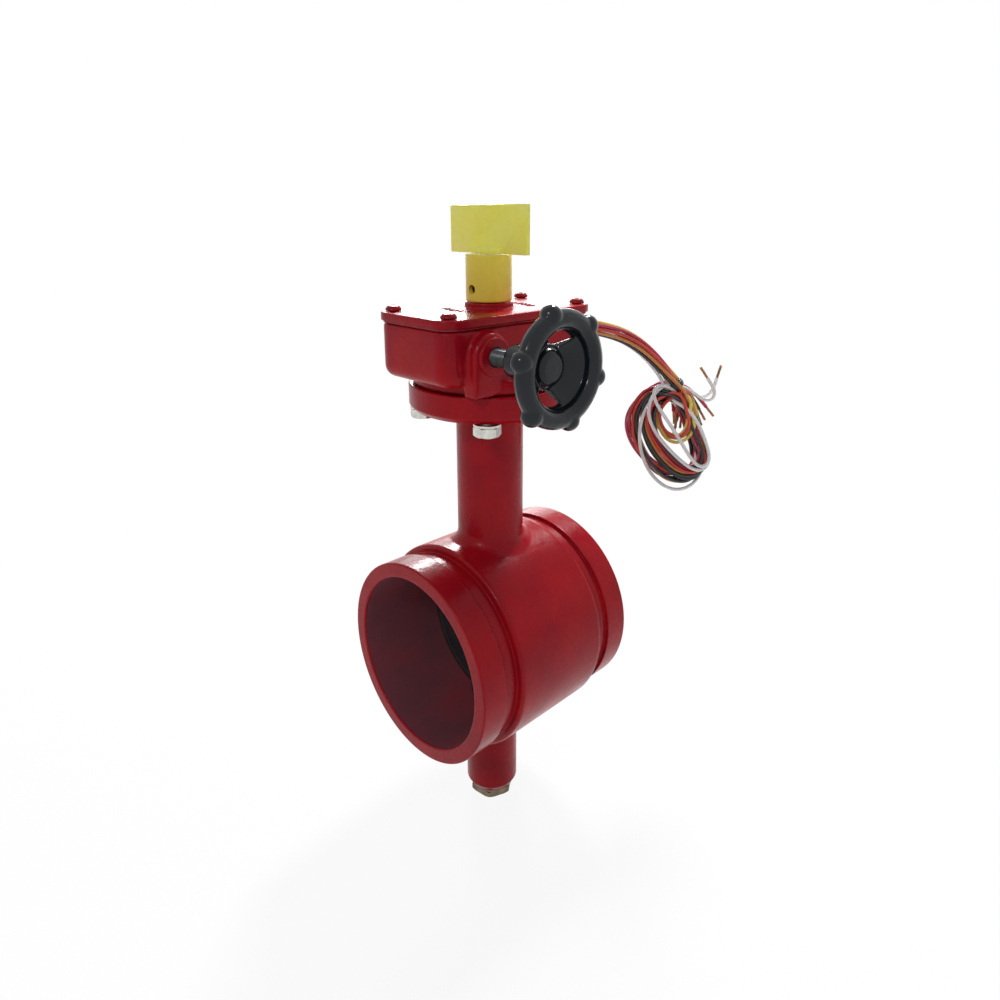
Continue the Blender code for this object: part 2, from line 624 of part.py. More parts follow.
def make_cover():
    outer_r = BOX_CORNER_R
    gasket = outlined("cover_gasket", rounded_outline(BOX_HALF_X, BOX_HALF_Y, outer_r), GASKET_Z,
                      GASKET_Z + GASKET_THICK, BLACK_RUBBER)
    window = block("gasket_window", (-INNER_HALF_X, -INNER_HALF_Y, GASKET_Z - 0.002),
                   (INNER_HALF_X, INNER_HALF_Y, GASKET_Z + GASKET_THICK + 0.002), upright_r=outer_r - BOX_WALL)
    combine(window, cover_posts("window", GASKET_Z - 0.004), "DIFFERENCE")
    holes = []
    for index, (x, y) in enumerate(cover_screw_places()):
        holes.append(rod(f"cover_hole_{index + 1}", COVER_SCREW_R + GAP, GASKET_Z - 0.01, COVER_TOP_Z + 0.01,
                         steps=10, matrix=at(x, y, 0)))
    combine(gasket, (window, *holes), "DIFFERENCE")

    half_x = BOX_HALF_X + COVER_OVERHANG
    half_y = BOX_HALF_Y + COVER_OVERHANG
    cover = block("housing_cover", (-half_x, -half_y, COVER_Z), (half_x, half_y, COVER_TOP_Z), PAINT,
                  upright_r=outer_r + COVER_OVERHANG, top_r=COVER_EDGE_ROUND)
    collar = turned("cover_collar", [
        (0, COLLAR_TOP_Z), (COLLAR_R - 0.0008, COLLAR_TOP_Z), (COLLAR_R, COLLAR_TOP_Z - 0.0008),
        *arc((COLLAR_R + 0.0015, COVER_TOP_Z + 0.0015), 0.0015, math.pi, 1.5 * math.pi, 3),
        (COLLAR_R + 0.0015, COVER_TOP_Z - 0.001), (0, COVER_TOP_Z - 0.001)], steps=32)
    combine(cover, (collar,), "UNION")
    seal_seat = rod("seal_seat", STEM_R + 0.0006 + 0.0026, COVER_Z + 0.0012, COVER_Z + 0.0012 + SEAL_HEIGHT + GAP,
                    steps=16)
    stem_hole = rod("cover_stem_hole", STEM_R + 0.0006, COVER_Z - 0.01, COLLAR_TOP_Z + 0.01, steps=16)
    combine(cover, (stem_hole, seal_seat), "DIFFERENCE")
    for hole in holes:
        combine(cover, (hole,), "DIFFERENCE")
    sleeve("indicator_stem_seal", STEM_R + GAP, STEM_R + 0.0028, COVER_Z + 0.0012 + GAP,
           COVER_Z + 0.0012 + SEAL_HEIGHT, BLACK_RUBBER)

    for index, (x, y) in enumerate(cover_screw_places()):
        head_z = COVER_TOP_Z + GAP
        head_r = COVER_SCREW_HEAD_R
        dome = [(head_r * math.sin(k * math.pi / 8), head_z + 0.0004 + (COVER_SCREW_HEAD_H - 0.0004)
                 * math.cos(k * math.pi / 8)) for k in range(5)]
        foot_z = BOX_TOP_Z - COVER_SCREW_SHANK
        turned(f"cover_screw_{index + 1}", [*dome, (head_r, head_z), (COVER_SCREW_R, head_z),
               (COVER_SCREW_R, foot_z + 0.0006), (COVER_SCREW_R - 0.0006, foot_z), (0, foot_z)],
               SCREW_PAINT, 12, matrix=at(x, y, 0))


def tooth_outline():
    """The sector wheel's outline about its centre line, +X, with its two stop faces."""
    tip_r = WHEEL_PITCH_R + GEAR_MODULE - TIP_CLEAR
    root_r = WHEEL_PITCH_R - GEAR_MODULE - TIP_CLEAR
    half_width = (math.pi * GEAR_MODULE / 2 - FLANK_BACKLASH) / 2
    outline = []
    reach = (SECTOR_TEETH - 1) / 2
    for number in range(SECTOR_TEETH):
        middle = (number - reach) * TOOTH_PITCH
        for side in (-1, 1):
            flank = []
            for radius in (root_r, WHEEL_PITCH_R, tip_r):
                lean = (radius - WHEEL_PITCH_R) * math.tan(PRESSURE_ANGLE)
                half_angle = (half_width - lean) / radius
                flank.append((radius, middle + side * half_angle))
            if side == 1:
                flank.reverse()
            outline += [(radius * math.cos(angle), radius * math.sin(angle)) for radius, angle in flank]
    end_angle = reach * TOOTH_PITCH + TOOTH_PITCH / 2
    stop_side = math.pi / 2 + OPENING_ANGLE / 2
    face = root_r * math.cos(stop_side - end_angle)
    hub_angle = stop_side - math.acos(face / HUB_R)
    outline.append((root_r * math.cos(end_angle), root_r * math.sin(end_angle)))
    outline += arc((0, 0), HUB_R, hub_angle, 2 * math.pi - hub_angle, 20)
    outline.append((root_r * math.cos(end_angle), -root_r * math.sin(end_angle)))
    return outline


def stop_face_x():
    """Where the sector's stop face stands at either limit of its travel."""
    root_r = WHEEL_PITCH_R - GEAR_MODULE - TIP_CLEAR
    end_angle = SECTOR_TEETH / 2 * TOOTH_PITCH
    return root_r * math.cos(math.pi / 2 + OPENING_ANGLE / 2 - end_angle)


def closed_angle():
    """The direction of the sector's centre line when the valve is shut. It opens clockwise from above."""
    return math.pi + OPENING_ANGLE / 2


def make_worm_wheel():
    """A toothed sector whose teeth lean with the worm's lead, on a hub keyed to the stem."""
    wheel = outlined("worm_wheel_sector", tooth_outline(), -WHEEL_THICK / 2, WHEEL_THICK / 2, DARK_STEEL,
                     matrix=at(0, 0, GEAR_Z, Matrix.Rotation(closed_angle(), 4, "Z")))
    lean = WORM_LEAD / (2 * math.pi * WORM_PITCH_R) / WHEEL_PITCH_R
    work = bmesh.new()
    work.from_mesh(wheel.data)
    for vert in work.verts:
        vert.co = Matrix.Rotation(lean * vert.co.z, 3, "Z") @ vert.co
    work.to_mesh(wheel.data)
    work.free()
    hub_low = FLOOR_Z + GAP
    hub = rod("wheel_hub", HUB_R - 0.0006, hub_low, cam_low() - GAP, chamfer=0.0006, steps=20)
    combine(wheel, (hub,), "UNION")
    bore = rod("wheel_bore", STEM_R + GAP, FLOOR_Z - 0.01, BOX_TOP_Z, steps=16)
    keyway = block("wheel_keyway", (0, -KEY_WIDTH / 2 - GAP, FLOOR_Z - 0.01),
                   (STEM_R + KEY_HEIGHT / 2 + GAP, KEY_WIDTH / 2 + GAP, BOX_TOP_Z))
    combine(wheel, (bore, keyway), "DIFFERENCE")


def cam_low():
    return BOX_TOP_Z - 0.0015 - CAM_THICK


def make_cam():
    """The ring on the stem that works both switches, with a flat for the open position."""
    cam = sleeve("switch_cam", STEM_R + GAP, CAM_R, cam_low(), cam_low() + CAM_THICK, PLAIN_BRASS, 24)
    flat = block("cam_flat", (-0.006, CAM_R - 0.0022, cam_low() - 0.004),
                 (0.006, CAM_R + 0.004, cam_low() + CAM_THICK + 0.004))
    screw_z = cam_low() + CAM_THICK / 2
    hole = rod("cam_screw_hole", 0.0014 + GAP, -CAM_R - 0.002, 0, steps=10, matrix=at(0, 0, screw_z, TURN_TO_X))
    combine(cam, (flat, hole), "DIFFERENCE")
    rod("cam_set_screw", 0.0014, -CAM_R + 0.0006, -STEM_R - GAP, DARK_STEEL, 10, 0.0002,
        matrix=at(0, 0, screw_z, TURN_TO_X))


def worm_phase():
    """The turn that puts the worm's thread in the gap between two teeth at rest."""
    reach = (SECTOR_TEETH - 1) / 2
    first = closed_angle() - (reach + 0.5) * TOOTH_PITCH
    steps = round((math.pi - first) / TOOTH_PITCH)
    offset = math.pi - (first + steps * TOOTH_PITCH)
    return offset * WHEEL_TEETH


def make_worm():
    """A single-start right-hand thread, swept round the shaft and joined to it."""
    root_r = WORM_PITCH_R - GEAR_MODULE - TIP_CLEAR
    tip_r = WORM_PITCH_R + GEAR_MODULE - TIP_CLEAR
    half_width = (WORM_LEAD / 2 - FLANK_BACKLASH) / 2
    foot_r = root_r - 0.0006
    section = []
    for radius, side in ((foot_r, -1), (tip_r, -1), (tip_r, 1), (foot_r, 1)):
        lean = (radius - WORM_PITCH_R) * math.tan(PRESSURE_ANGLE)
        section.append((radius, side * (half_width - lean)))
    thread_turns = WORM_TURNS - 1
    low = -thread_turns * WORM_LEAD / 2
    phase = worm_phase() - thread_turns * math.pi
    work = bmesh.new()
    verts = []
    for radius, along in section:
        verts.append(work.verts.new((radius * math.cos(phase), radius * math.sin(phase), low + along)))
    edges = [work.edges.new((verts[k], verts[(k + 1) % 4])) for k in range(4)]
    steps = thread_turns * WORM_STEPS
    swept = bmesh.ops.spin(work, geom=verts + edges, cent=(0, 0, 0), axis=(0, 0, 1), steps=steps,
                           angle=thread_turns * 2 * math.pi, dvec=(0, 0, WORM_LEAD / WORM_STEPS),
                           use_duplicate=False)
    last = [item for item in swept["geom_last"] if isinstance(item, bmesh.types.BMVert)]
    work.faces.new(verts)
    last_ring = sorted(last, key=lambda vert: (round(vert.co.xy.length, 5), vert.co.z))
    inner_low, inner_high, outer_low, outer_high = last_ring
    work.faces.new((inner_low, outer_low, outer_high, inner_high))
    bmesh.ops.recalc_face_normals(work, faces=work.faces)
    mesh = bpy.data.meshes.new("worm_thread")
    work.to_mesh(mesh)
    work.free()
    thread = place("worm_thread", mesh)
    thread.matrix_world = at(WORM_X, 0, GEAR_Z, TURN_TO_FRONT)

    shoulder = WORM_LENGTH / 2
    rear_end = -INNER_HALF_Y + GAP
    front_end = WHEEL_BACK + HANDWHEEL_DEPTH - 0.0018
    shaft = turned("worm_shaft", [
        (0, front_end), (SHAFT_R - 0.0006, front_end), (SHAFT_R, front_end - 0.0006), (SHAFT_R, shoulder),
        (root_r, shoulder), (root_r, -shoulder), (SHAFT_R, -shoulder), (SHAFT_R, rear_end - 0.0026),
        (0, rear_end - 0.0026)], DARK_STEEL, 16,
        matrix=at(WORM_X, 0, GEAR_Z, TURN_TO_FRONT @ Matrix.Rotation(math.radians(7), 4, "Z")))
    combine(shaft, (thread,), "UNION")
    pin_hole = rod("shaft_pin_hole", HANDWHEEL_PIN_R + GAP, -0.01, 0.01, steps=10,
                   matrix=at(WORM_X, handwheel_pin_at(), GEAR_Z))
    combine(shaft, (pin_hole,), "DIFFERENCE")


def handwheel_pin_at():
    return -WHEEL_BACK - 0.0048


def make_worm_bearings():
    spot = at(WORM_X, 0, GEAR_Z, TURN_TO_FRONT)
    bush_r = SHAFT_R + GAP + WORM_BUSH_WALL
    seal_back = nose_front() - NOSE_LIP - GAP - SHAFT_SEAL_LENGTH
    shoulder = WORM_LENGTH / 2
    sleeve("worm_bushing_front", SHAFT_R + GAP, bush_r, shoulder + GAP, seal_back - GAP, PLAIN_BRONZE, matrix=spot)
    sleeve("worm_shaft_seal", SHAFT_R + GAP, bush_r, seal_back, seal_back + SHAFT_SEAL_LENGTH, BLACK_RUBBER,
           matrix=spot)
    cap_inner = -BOX_HALF_Y + 0.0016
    sleeve("worm_bushing_rear", SHAFT_R + GAP, REAR_CAP_R - GAP, cap_inner + GAP, -shoulder - GAP, PLAIN_BRONZE,
           matrix=spot)
    turned("worm_end_cap", [(0, cap_inner), (REAR_CAP_R - GAP, cap_inner), (REAR_CAP_R - GAP, -BOX_HALF_Y - 0.0004),
                            (REAR_CAP_R - 0.0012, -BOX_HALF_Y - 0.0012), (0, -BOX_HALF_Y - 0.0012)],
           DARK_STEEL, 16, matrix=spot)


def handwheel_profile():
    """Hub, dished web and round rim, as (radius, distance from the hub's back)."""
    outer = [(HANDWHEEL_HUB_R * 0.7, HANDWHEEL_DEPTH + 0.0004), (HANDWHEEL_HUB_R, HANDWHEEL_DEPTH - 0.0006)]
    outer += [(HANDWHEEL_HUB_R + 0.0012, HANDWHEEL_DEPTH - 0.0032), (RIM_R - RIM_SECTION_R * 0.9, RIM_S - 0.0012)]
    outer += arc((RIM_R, RIM_S), RIM_SECTION_R, math.radians(160), math.radians(-140), 7)
    outer += [(HANDWHEEL_HUB_R + 0.0045, 0.0195), (HANDWHEEL_HUB_R + 0.0012, 0.0125), (HANDWHEEL_HUB_R, 0.008)]
    outer += [(HANDWHEEL_HUB_R - 0.0004, 0.0008), (HANDWHEEL_HUB_R - 0.0012, 0)]
    return [(0, HANDWHEEL_DEPTH + 0.0004), *outer, (0, 0)]


def window_outline(angle):
    half = WINDOW_ARC / 2
    outer = arc((0, 0), WINDOW_OUTER_R, angle - half, angle + half, 8)
    inner = arc((0, 0), WINDOW_INNER_R, angle + half * 0.75, angle - half * 0.75, 6)
    return outer + inner


def make_handwheel():
    spot = at(WORM_X, -WHEEL_BACK, GEAR_Z, TURN_TO_FRONT)
    wheel = turned("handwheel", handwheel_profile(), BLACK_PAINT, 32, matrix=spot)
    knobs = []
    for number in range(KNOB_COUNT):
        angle = KNOB_ANGLE + number * 2 * math.pi / KNOB_COUNT
        work = bmesh.new()
        bmesh.ops.create_uvsphere(work, u_segments=10, v_segments=6, radius=KNOB_R)
        mesh = bpy.data.meshes.new(f"rim_knob_{number + 1}")
        work.to_mesh(mesh)
        work.free()
        knob = place(mesh.name, mesh)
        knob.matrix_world = spot @ Matrix.Translation((KNOB_CENTRE_R * math.cos(angle),
                                                       KNOB_CENTRE_R * math.sin(angle), RIM_S))
        knobs.append(knob)
    combine(wheel, knobs, "UNION")
    windows = []
    for number in range(WINDOW_COUNT):
        angle = WINDOW_ANGLE + number * 2 * math.pi / WINDOW_COUNT
        windows.append(outlined(f"web_window_{number + 1}", window_outline(angle), 0.008, RIM_S + 0.004,
                                matrix=spot))
    bore = rod("handwheel_bore", SHAFT_R + GAP, -0.01, HANDWHEEL_DEPTH - 0.0014, steps=16, matrix=spot)
    pin_hole = rod("handwheel_pin_hole", HANDWHEEL_PIN_R + GAP, -0.02, 0.02, steps=10,
                   matrix=at(WORM_X, handwheel_pin_at(), GEAR_Z))
    combine(wheel, (*windows, bore, pin_hole), "DIFFERENCE")
    pin_half = HANDWHEEL_HUB_R - 0.0004
    rod("handwheel_pin", HANDWHEEL_PIN_R, -pin_half, pin_half, BRIGHT_STEEL, 10, 0.0003,
        matrix=at(WORM_X, handwheel_pin_at(), GEAR_Z))


def make_stops():
    """Two screws through the end wall that meet the sector's stop faces, each with a lock nut."""
    for sign, name in ((-1, "closed"), (1, "open")):
        spot = at(0, sign * STOP_Y, GEAR_Z, TURN_TO_X)
        tip_x = stop_face_x() + GAP
        nut_x = BOX_HALF_X + GAP
        rod(f"travel_stop_{name}", STOP_R, tip_x, nut_x + STOP_NUT_THICK + STOP_TAIL, BRIGHT_STEEL, 10, 0.0006,
            matrix=spot)
        nut = outlined(f"stop_lock_nut_{name}", hexagon(STOP_NUT_AF, math.radians(12)), nut_x,
                       nut_x + STOP_NUT_THICK, BRIGHT_STEEL, matrix=spot)
        hole = rod(f"stop_nut_hole_{name}", STOP_R + GAP, nut_x - 0.01, nut_x + 0.02, steps=10, matrix=spot)
        combine(nut, (hole,), "DIFFERENCE")


def switch_z():
    """The foot of both switches."""
    return BOX_TOP_Z - 0.0008 - SWITCH_HEIGHT


def bracket_front():
    return SWITCH_WIDTH + 2 * GAP


def bracket_screw_front():
    return bracket_front() + BRACKET_THICK + BRACKET_FOOT * 0.6


def bracket_screw_xs():
    return (SWITCH_FACE_X + 0.003, SWITCH_FACE_X + SWITCH_DEPTH + 0.001)


def make_switches():
    plunger_z = cam_low() + CAM_THICK / 2
    screw_zs = (switch_z() + 0.003, switch_z() + 0.0105)
    screw_x = SWITCH_FACE_X + SWITCH_DEPTH - 0.0028
    screw_low = -SWITCH_WIDTH - 2 * GAP
    for sign, name in ((-1, "1"), (1, "2")):
        middle = sign * (SWITCH_WIDTH / 2 + GAP / 2)
        body = block(f"supervisory_switch_{name}",
                     (SWITCH_FACE_X, middle - SWITCH_WIDTH / 2, switch_z()),
                     (SWITCH_FACE_X + SWITCH_DEPTH, middle + SWITCH_WIDTH / 2, switch_z() + SWITCH_HEIGHT),
                     BLACK_PLASTIC, upright_r=0.0006, segments=2)
        socket = rod(f"plunger_socket_{name}", PLUNGER_R + GAP, SWITCH_FACE_X - 0.002, SWITCH_FACE_X + 0.0056,
                     steps=10, matrix=at(0, middle, plunger_z, TURN_TO_X))
        combine(body, (socket,), "DIFFERENCE")
        for place_name, z in zip(("low", "high"), screw_zs):
            hole = rod(f"switch_hole_{name}_{place_name}", SWITCH_SCREW_R + GAP, -0.02, 0.02, steps=10,
                       matrix=at(screw_x, 0, z, TURN_TO_FRONT))
            combine(body, (hole,), "DIFFERENCE")
        reach = abs(middle) + PLUNGER_R
        cam_x = math.sqrt(CAM_R ** 2 - (abs(middle) - PLUNGER_R) ** 2)
        tip_x = max(cam_x, math.sqrt(CAM_R ** 2 - reach ** 2)) + GAP
        rod(f"switch_plunger_{name}", PLUNGER_R, tip_x, SWITCH_FACE_X + 0.0056 - PLUNGER_TRAVEL - GAP,
            BRIGHT_STEEL, 10, 0.0004, matrix=at(0, middle, plunger_z, TURN_TO_X))

    near = bracket_front()
    back = SWITCH_FACE_X + SWITCH_DEPTH + 0.003
    bracket = block("switch_bracket", (SWITCH_FACE_X + 0.001, -near - BRACKET_THICK, FLOOR_Z + GAP),
                    (back, -near, switch_z() + SWITCH_HEIGHT - 0.004), BRIGHT_STEEL)
    foot = block("bracket_foot", (SWITCH_FACE_X + 0.001, -near - BRACKET_THICK - BRACKET_FOOT * 0.9, FLOOR_Z + GAP),
                 (back, -near - BRACKET_THICK / 2, FLOOR_Z + GAP + BRACKET_THICK))
    combine(bracket, (foot,), "UNION")
    for place_name, z in zip(("low", "high"), screw_zs):
        head_y = screw_low - 0.0014
        turned(f"switch_screw_{place_name}", [
            (0, near + BRACKET_THICK + 0.001), (SWITCH_SCREW_R, near + BRACKET_THICK + 0.001),
            (SWITCH_SCREW_R, screw_low + GAP), (SWITCH_SCREW_R * 1.8, screw_low + GAP),
            (SWITCH_SCREW_R * 1.8, head_y), (0, head_y)], BRIGHT_STEEL, 10, matrix=at(screw_x, 0, z, TURN_TO_FRONT))
        hole = rod(f"bracket_hole_{place_name}", SWITCH_SCREW_R + GAP, -0.02, 0.02, steps=10,
                   matrix=at(screw_x, 0, z, TURN_TO_FRONT))
        combine(bracket, (hole,), "DIFFERENCE")
    for index, x in enumerate(bracket_screw_xs()):
        head_z = FLOOR_Z + 2 * GAP + BRACKET_THICK
        turned(f"bracket_screw_{index + 1}", [
            (0, head_z + 0.0016), (BRACKET_SCREW_R * 1.5, head_z + 0.0014), (BRACKET_SCREW_R * 1.8, head_z + 0.0006),
            (BRACKET_SCREW_R * 1.8, head_z), (BRACKET_SCREW_R, head_z), (BRACKET_SCREW_R, FLOOR_Z - 0.0035),
            (0, FLOOR_Z - 0.0035)], BRIGHT_STEEL, 10, matrix=at(x, -bracket_screw_front(), 0))
        hole = rod(f"foot_hole_{index + 1}", BRACKET_SCREW_R + GAP, FLOOR_Z - 0.005, FLOOR_Z + 0.01, steps=10,
                   matrix=at(x, -bracket_screw_front(), 0))
        combine(bracket, (hole,), "DIFFERENCE")


def make_indicator():
    """The yellow sleeve on the stem's top and the flag welded on it, across the pipe when shut."""
    pin_z = SLEEVE_Z + SLEEVE_HEIGHT * 0.27
    sleeve_part = turned("indicator_sleeve", [
        (0, SLEEVE_TOP_Z), (SLEEVE_R - 0.0006, SLEEVE_TOP_Z), (SLEEVE_R, SLEEVE_TOP_Z - 0.0006),
        (SLEEVE_R, SLEEVE_Z + 0.0012), (SLEEVE_R - 0.0012, SLEEVE_Z), (0, SLEEVE_Z)], YELLOW_PAINT, 24)
    bore = rod("sleeve_bore", STEM_R + GAP, SLEEVE_Z - 0.01, SLEEVE_TOP_Z - 0.006 + GAP, steps=16)
    cross = rod("sleeve_pin_hole", SLEEVE_PIN_R + GAP, -0.02, 0.02, steps=10, matrix=at(0, 0, pin_z, TURN_TO_X))
    combine(sleeve_part, (bore, cross), "DIFFERENCE")
    pin_half = SLEEVE_R - 0.0022
    rod("indicator_pin", SLEEVE_PIN_R, -pin_half, pin_half, DARK_STEEL, 10, 0.0003, matrix=at(0, 0, pin_z, TURN_TO_X))

    flag_z = SLEEVE_TOP_Z + GAP
    flag = block("indicator_flag", (-FLAG_THICK / 2, -FLAG_WIDTH / 2, flag_z),
                 (FLAG_THICK / 2, FLAG_WIDTH / 2, flag_z + FLAG_HEIGHT), YELLOW_PAINT)
    beads = []
    for sign, name in ((-1, "near"), (1, "far")):
        inner = FLAG_THICK / 2 - GAP
        outline = [(inner, flag_z), (inner, flag_z + WELD_R * 1.6), (inner + WELD_R * 0.5, flag_z + WELD_R * 1.25),
                   (inner + WELD_R * 0.95, flag_z + WELD_R * 0.6), (inner + WELD_R * 1.15, flag_z)]
        outline = [(sign * x, z) for x, z in outline]
        beads.append(outlined(f"flag_weld_{name}", outline, -WELD_LENGTH / 2, WELD_LENGTH / 2, matrix=TURN_TO_FRONT))
    combine(flag, beads, "UNION")


def bundle_route():
    """The leads from inside the housing's end wall, out level, then over and down to the hank."""
    return [
        (0.0440, 0.0000, 0.1780), (0.0540, 0.0000, 0.1780), (0.0645, -0.0008, 0.1774), (0.0751, -0.0025, 0.1755),
        (0.0849, -0.0048, 0.1733), (0.0942, -0.0078, 0.1713), (0.1028, -0.0111, 0.1688), (0.1109, -0.0151, 0.1648),
        (0.1184, -0.0196, 0.1586), (0.1254, -0.0246, 0.1495), (0.1310, -0.0298, 0.1393), (0.1330, -0.0318, 0.1336),
    ]


def smooth_path(points, parts):
    """Points read from a smooth curve through the route's own points."""
    ends = [Vector(points[0]) * 2 - Vector(points[1])] + [Vector(p) for p in points]
    ends.append(Vector(points[-1]) * 2 - Vector(points[-2]))
    path = []
    for k in range(1, len(ends) - 2):
        before, start, end, after = ends[k - 1:k + 3]
        for part in range(parts):
            t = part / parts
            path.append(0.5 * (2 * start + (end - before) * t + (2 * before - 5 * start + 4 * end - after) * t ** 2
                               + (3 * start - before - 3 * end + after) * t ** 3))
    path.append(ends[-2])
    return path


def make_leads():
    curve = bpy.data.curves.new("lead_bundle", "CURVE")
    curve.dimensions = "3D"
    curve.bevel_depth = BUNDLE_R
    curve.bevel_resolution = 2
    curve.use_fill_caps = True
    path = smooth_path(bundle_route(), 2)
    spline = curve.splines.new("POLY")
    spline.points.add(len(path) - 1)
    for point, spot in zip(spline.points, path):
        point.co = (*spot, 1.0)
    curve.materials.append(finish("lead_bundle", *LEAD_PLASTIC))
    bundle = bpy.data.objects.new("lead_bundle", curve)
    bpy.data.collections[PARTS].objects.link(bundle)

    wall_r = BUNDLE_R + GAP + CONDUIT_WALL
    turned("lead_bushing", [
        (BUNDLE_R + GAP, BOX_HALF_X + GAP + CONDUIT_FLANGE), (wall_r + 0.0006, BOX_HALF_X + GAP + CONDUIT_FLANGE),
        (wall_r + 0.0014, BOX_HALF_X + CONDUIT_FLANGE - 0.0006), (wall_r + 0.0014, BOX_HALF_X + GAP),
        (wall_r, BOX_HALF_X + GAP), (wall_r, INNER_HALF_X - 0.0015), (BUNDLE_R + GAP, INNER_HALF_X - 0.0015)],
        BLACK_PLASTIC, 16, ring=True, matrix=at(0, 0, BUNDLE_EXIT_Z, TURN_TO_X))

    top = HANK_TOP
    across = Matrix.Rotation(HANK_TURN, 4, "Z") @ Matrix.Rotation(math.pi / 2, 4, "X")
    centre = Vector((-0.012, -HANK_HALF_HEIGHT - WRAP_LENGTH / 2, 0))
    outline = hank_outline(HANK_HALF_WIDTH, HANK_HALF_HEIGHT, centre)
    hole = hank_outline(HANK_INNER_HALF_WIDTH, HANK_HALF_HEIGHT - HANK_HALF_WIDTH + HANK_INNER_HALF_WIDTH, centre)
    outlined("lead_hank", outline, -HANK_THICK / 2, HANK_THICK / 2, LEAD_PLASTIC, holes=(hole,),
             matrix=Matrix.Translation(top) @ across)


def hank_outline(half_width, half_height, centre):
    """A loop with round ends, standing upright."""
    rise = half_height - half_width
    upper = arc((centre.x, centre.y + rise), half_width, 0, math.pi, 12)
    lower = arc((centre.x, centre.y - rise), half_width, math.pi, 2 * math.pi, 12)
    return upper + lower


def main():
    clear_scene()
    make_body()
    make_disc()
    make_stems()
    make_plug()
    make_flange_bolts()
    make_housing()
    make_cover()
    make_worm_wheel()
    make_cam()
    make_worm()
    make_worm_bearings()
    make_handwheel()
    make_stops()
    make_switches()
    make_indicator()
    make_leads()


main()
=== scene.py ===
"""Looks for the supervised butterfly valve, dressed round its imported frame.

The camera, the studio and the leads come first, then the body and its disc, the gear operator, the
indicator, the fasteners and the small parts. Lengths are metres in the frame's own axes: +X along the
pipe, the handwheel towards -Y, +Z up.
"""
from math import asin, cos, hypot, pi, radians, sin, sqrt, tan
import random

import bpy
import numpy as np
from mathutils import Matrix, Vector


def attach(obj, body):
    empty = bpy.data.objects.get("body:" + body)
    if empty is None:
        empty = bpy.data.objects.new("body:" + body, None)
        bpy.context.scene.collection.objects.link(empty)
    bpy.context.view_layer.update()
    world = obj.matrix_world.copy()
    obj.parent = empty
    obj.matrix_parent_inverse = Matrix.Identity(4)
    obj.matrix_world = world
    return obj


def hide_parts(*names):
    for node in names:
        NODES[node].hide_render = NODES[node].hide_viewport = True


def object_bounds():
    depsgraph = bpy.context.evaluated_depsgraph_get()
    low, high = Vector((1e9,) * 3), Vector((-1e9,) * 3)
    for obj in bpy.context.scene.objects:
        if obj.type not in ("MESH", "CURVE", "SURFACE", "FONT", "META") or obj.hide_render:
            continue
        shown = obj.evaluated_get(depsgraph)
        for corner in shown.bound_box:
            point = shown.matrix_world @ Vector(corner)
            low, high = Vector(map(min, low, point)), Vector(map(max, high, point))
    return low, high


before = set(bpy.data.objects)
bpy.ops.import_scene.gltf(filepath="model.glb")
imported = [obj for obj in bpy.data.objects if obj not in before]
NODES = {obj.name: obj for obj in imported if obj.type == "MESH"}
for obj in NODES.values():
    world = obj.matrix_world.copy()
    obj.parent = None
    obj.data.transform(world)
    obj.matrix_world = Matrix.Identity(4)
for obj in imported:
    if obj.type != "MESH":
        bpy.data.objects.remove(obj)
CAD_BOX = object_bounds()

# Sizes, most of them repeated from the part's source
RUN_HALF = 0.058
PIPE_R = 0.05715
BORE_R = 0.0489
BARREL_R = 0.0595
SEAT_X = 0.04212
GROOVE_X = 0.03259
GROOVE_R = 0.05504
NECK_R = 0.0189
NECK_FILLET = 0.006
BOSS_FILLET = 0.0035
FLANGE_Z = 0.138
FLANGE_TOP_Z = 0.1525
FLANGE_R = 0.0447
FLANGE_CHAMFER = 0.0028
BOSS_R = 0.0157
BOSS_Z = -0.1102
BOSS_TAPER = 0.0024
BOSS_TAPER_HEIGHT = 0.004
STEM_HOLE_R = 0.0099
BOLT_CIRCLE_R = 0.0375
BOLT_HOLE_R = 0.0043
BOLT_HEAD_AF = 0.0127
BOLT_HEAD_H = 0.0051
WASHER_R = 0.0072
WASHER_THICK = 0.0014
PLUG_AF = 0.0235
PLUG_HEAD_H = 0.004
PLUG_WASHER_THICK = 0.0012
PAD_Z = 0.1528
PAD_R = 0.0425
BOX_Z = 0.1583
FLOOR_Z = 0.1628
BOX_TOP_Z = 0.1869
BOX_HALF_X = 0.0538
BOX_HALF_Y = 0.0288
BOX_WALL = 0.004
COVER_Z = 0.1883
COVER_TOP_Z = 0.1925
COLLAR_TOP_Z = 0.1957
GEAR_Z = 0.1736
WORM_X = -0.0295
SLEEVE_Z = 0.196
SLEEVE_TOP_Z = 0.2207
WHEEL_BACK = 0.0485
COVER_SCREW_X = 0.0471
COVER_SCREW_Y = 0.0222
STEM_R = 0.0075
SHAFT_R = 0.0045
FRONT_BOSS_R = 0.0118
BOSS_FRONT = 0.035
NOSE_FRONT = 0.0368
NOSE_LIP = 0.0014
HANDWHEEL_DEPTH = 0.0255
RIM_R = 0.0229
RIM_S = 0.0296
RIM_SECTION_R = 0.0048
KNOB_ANGLE = -15
KNOB_R = 0.0052
KNOB_RING_R = 0.0256
WINDOW_INNER_R = 0.0108
WINDOW_OUTER_R = 0.0176
WINDOW_ARC = 58
WINDOW_ANGLE = 75
FLAG_WIDTH = 0.0585
FLAG_HEIGHT = 0.0252
FLAG_THICK = 0.003
SLEEVE_R = 0.0125
SLEEVE_HEIGHT = 0.0247
DISC_HUB_R = 0.0125
DISC_HUB_HALF = 0.0462
DISC_PIN_R = 0.0028
DISC_PIN_Z = 0.034
LEAD_Z = 0.178
LEAD_HOLE_R = 0.0074
STOP_HOLE_R = 0.0033
STOP_Y = 0.0158
FRONT_HOLE_R = 0.0073
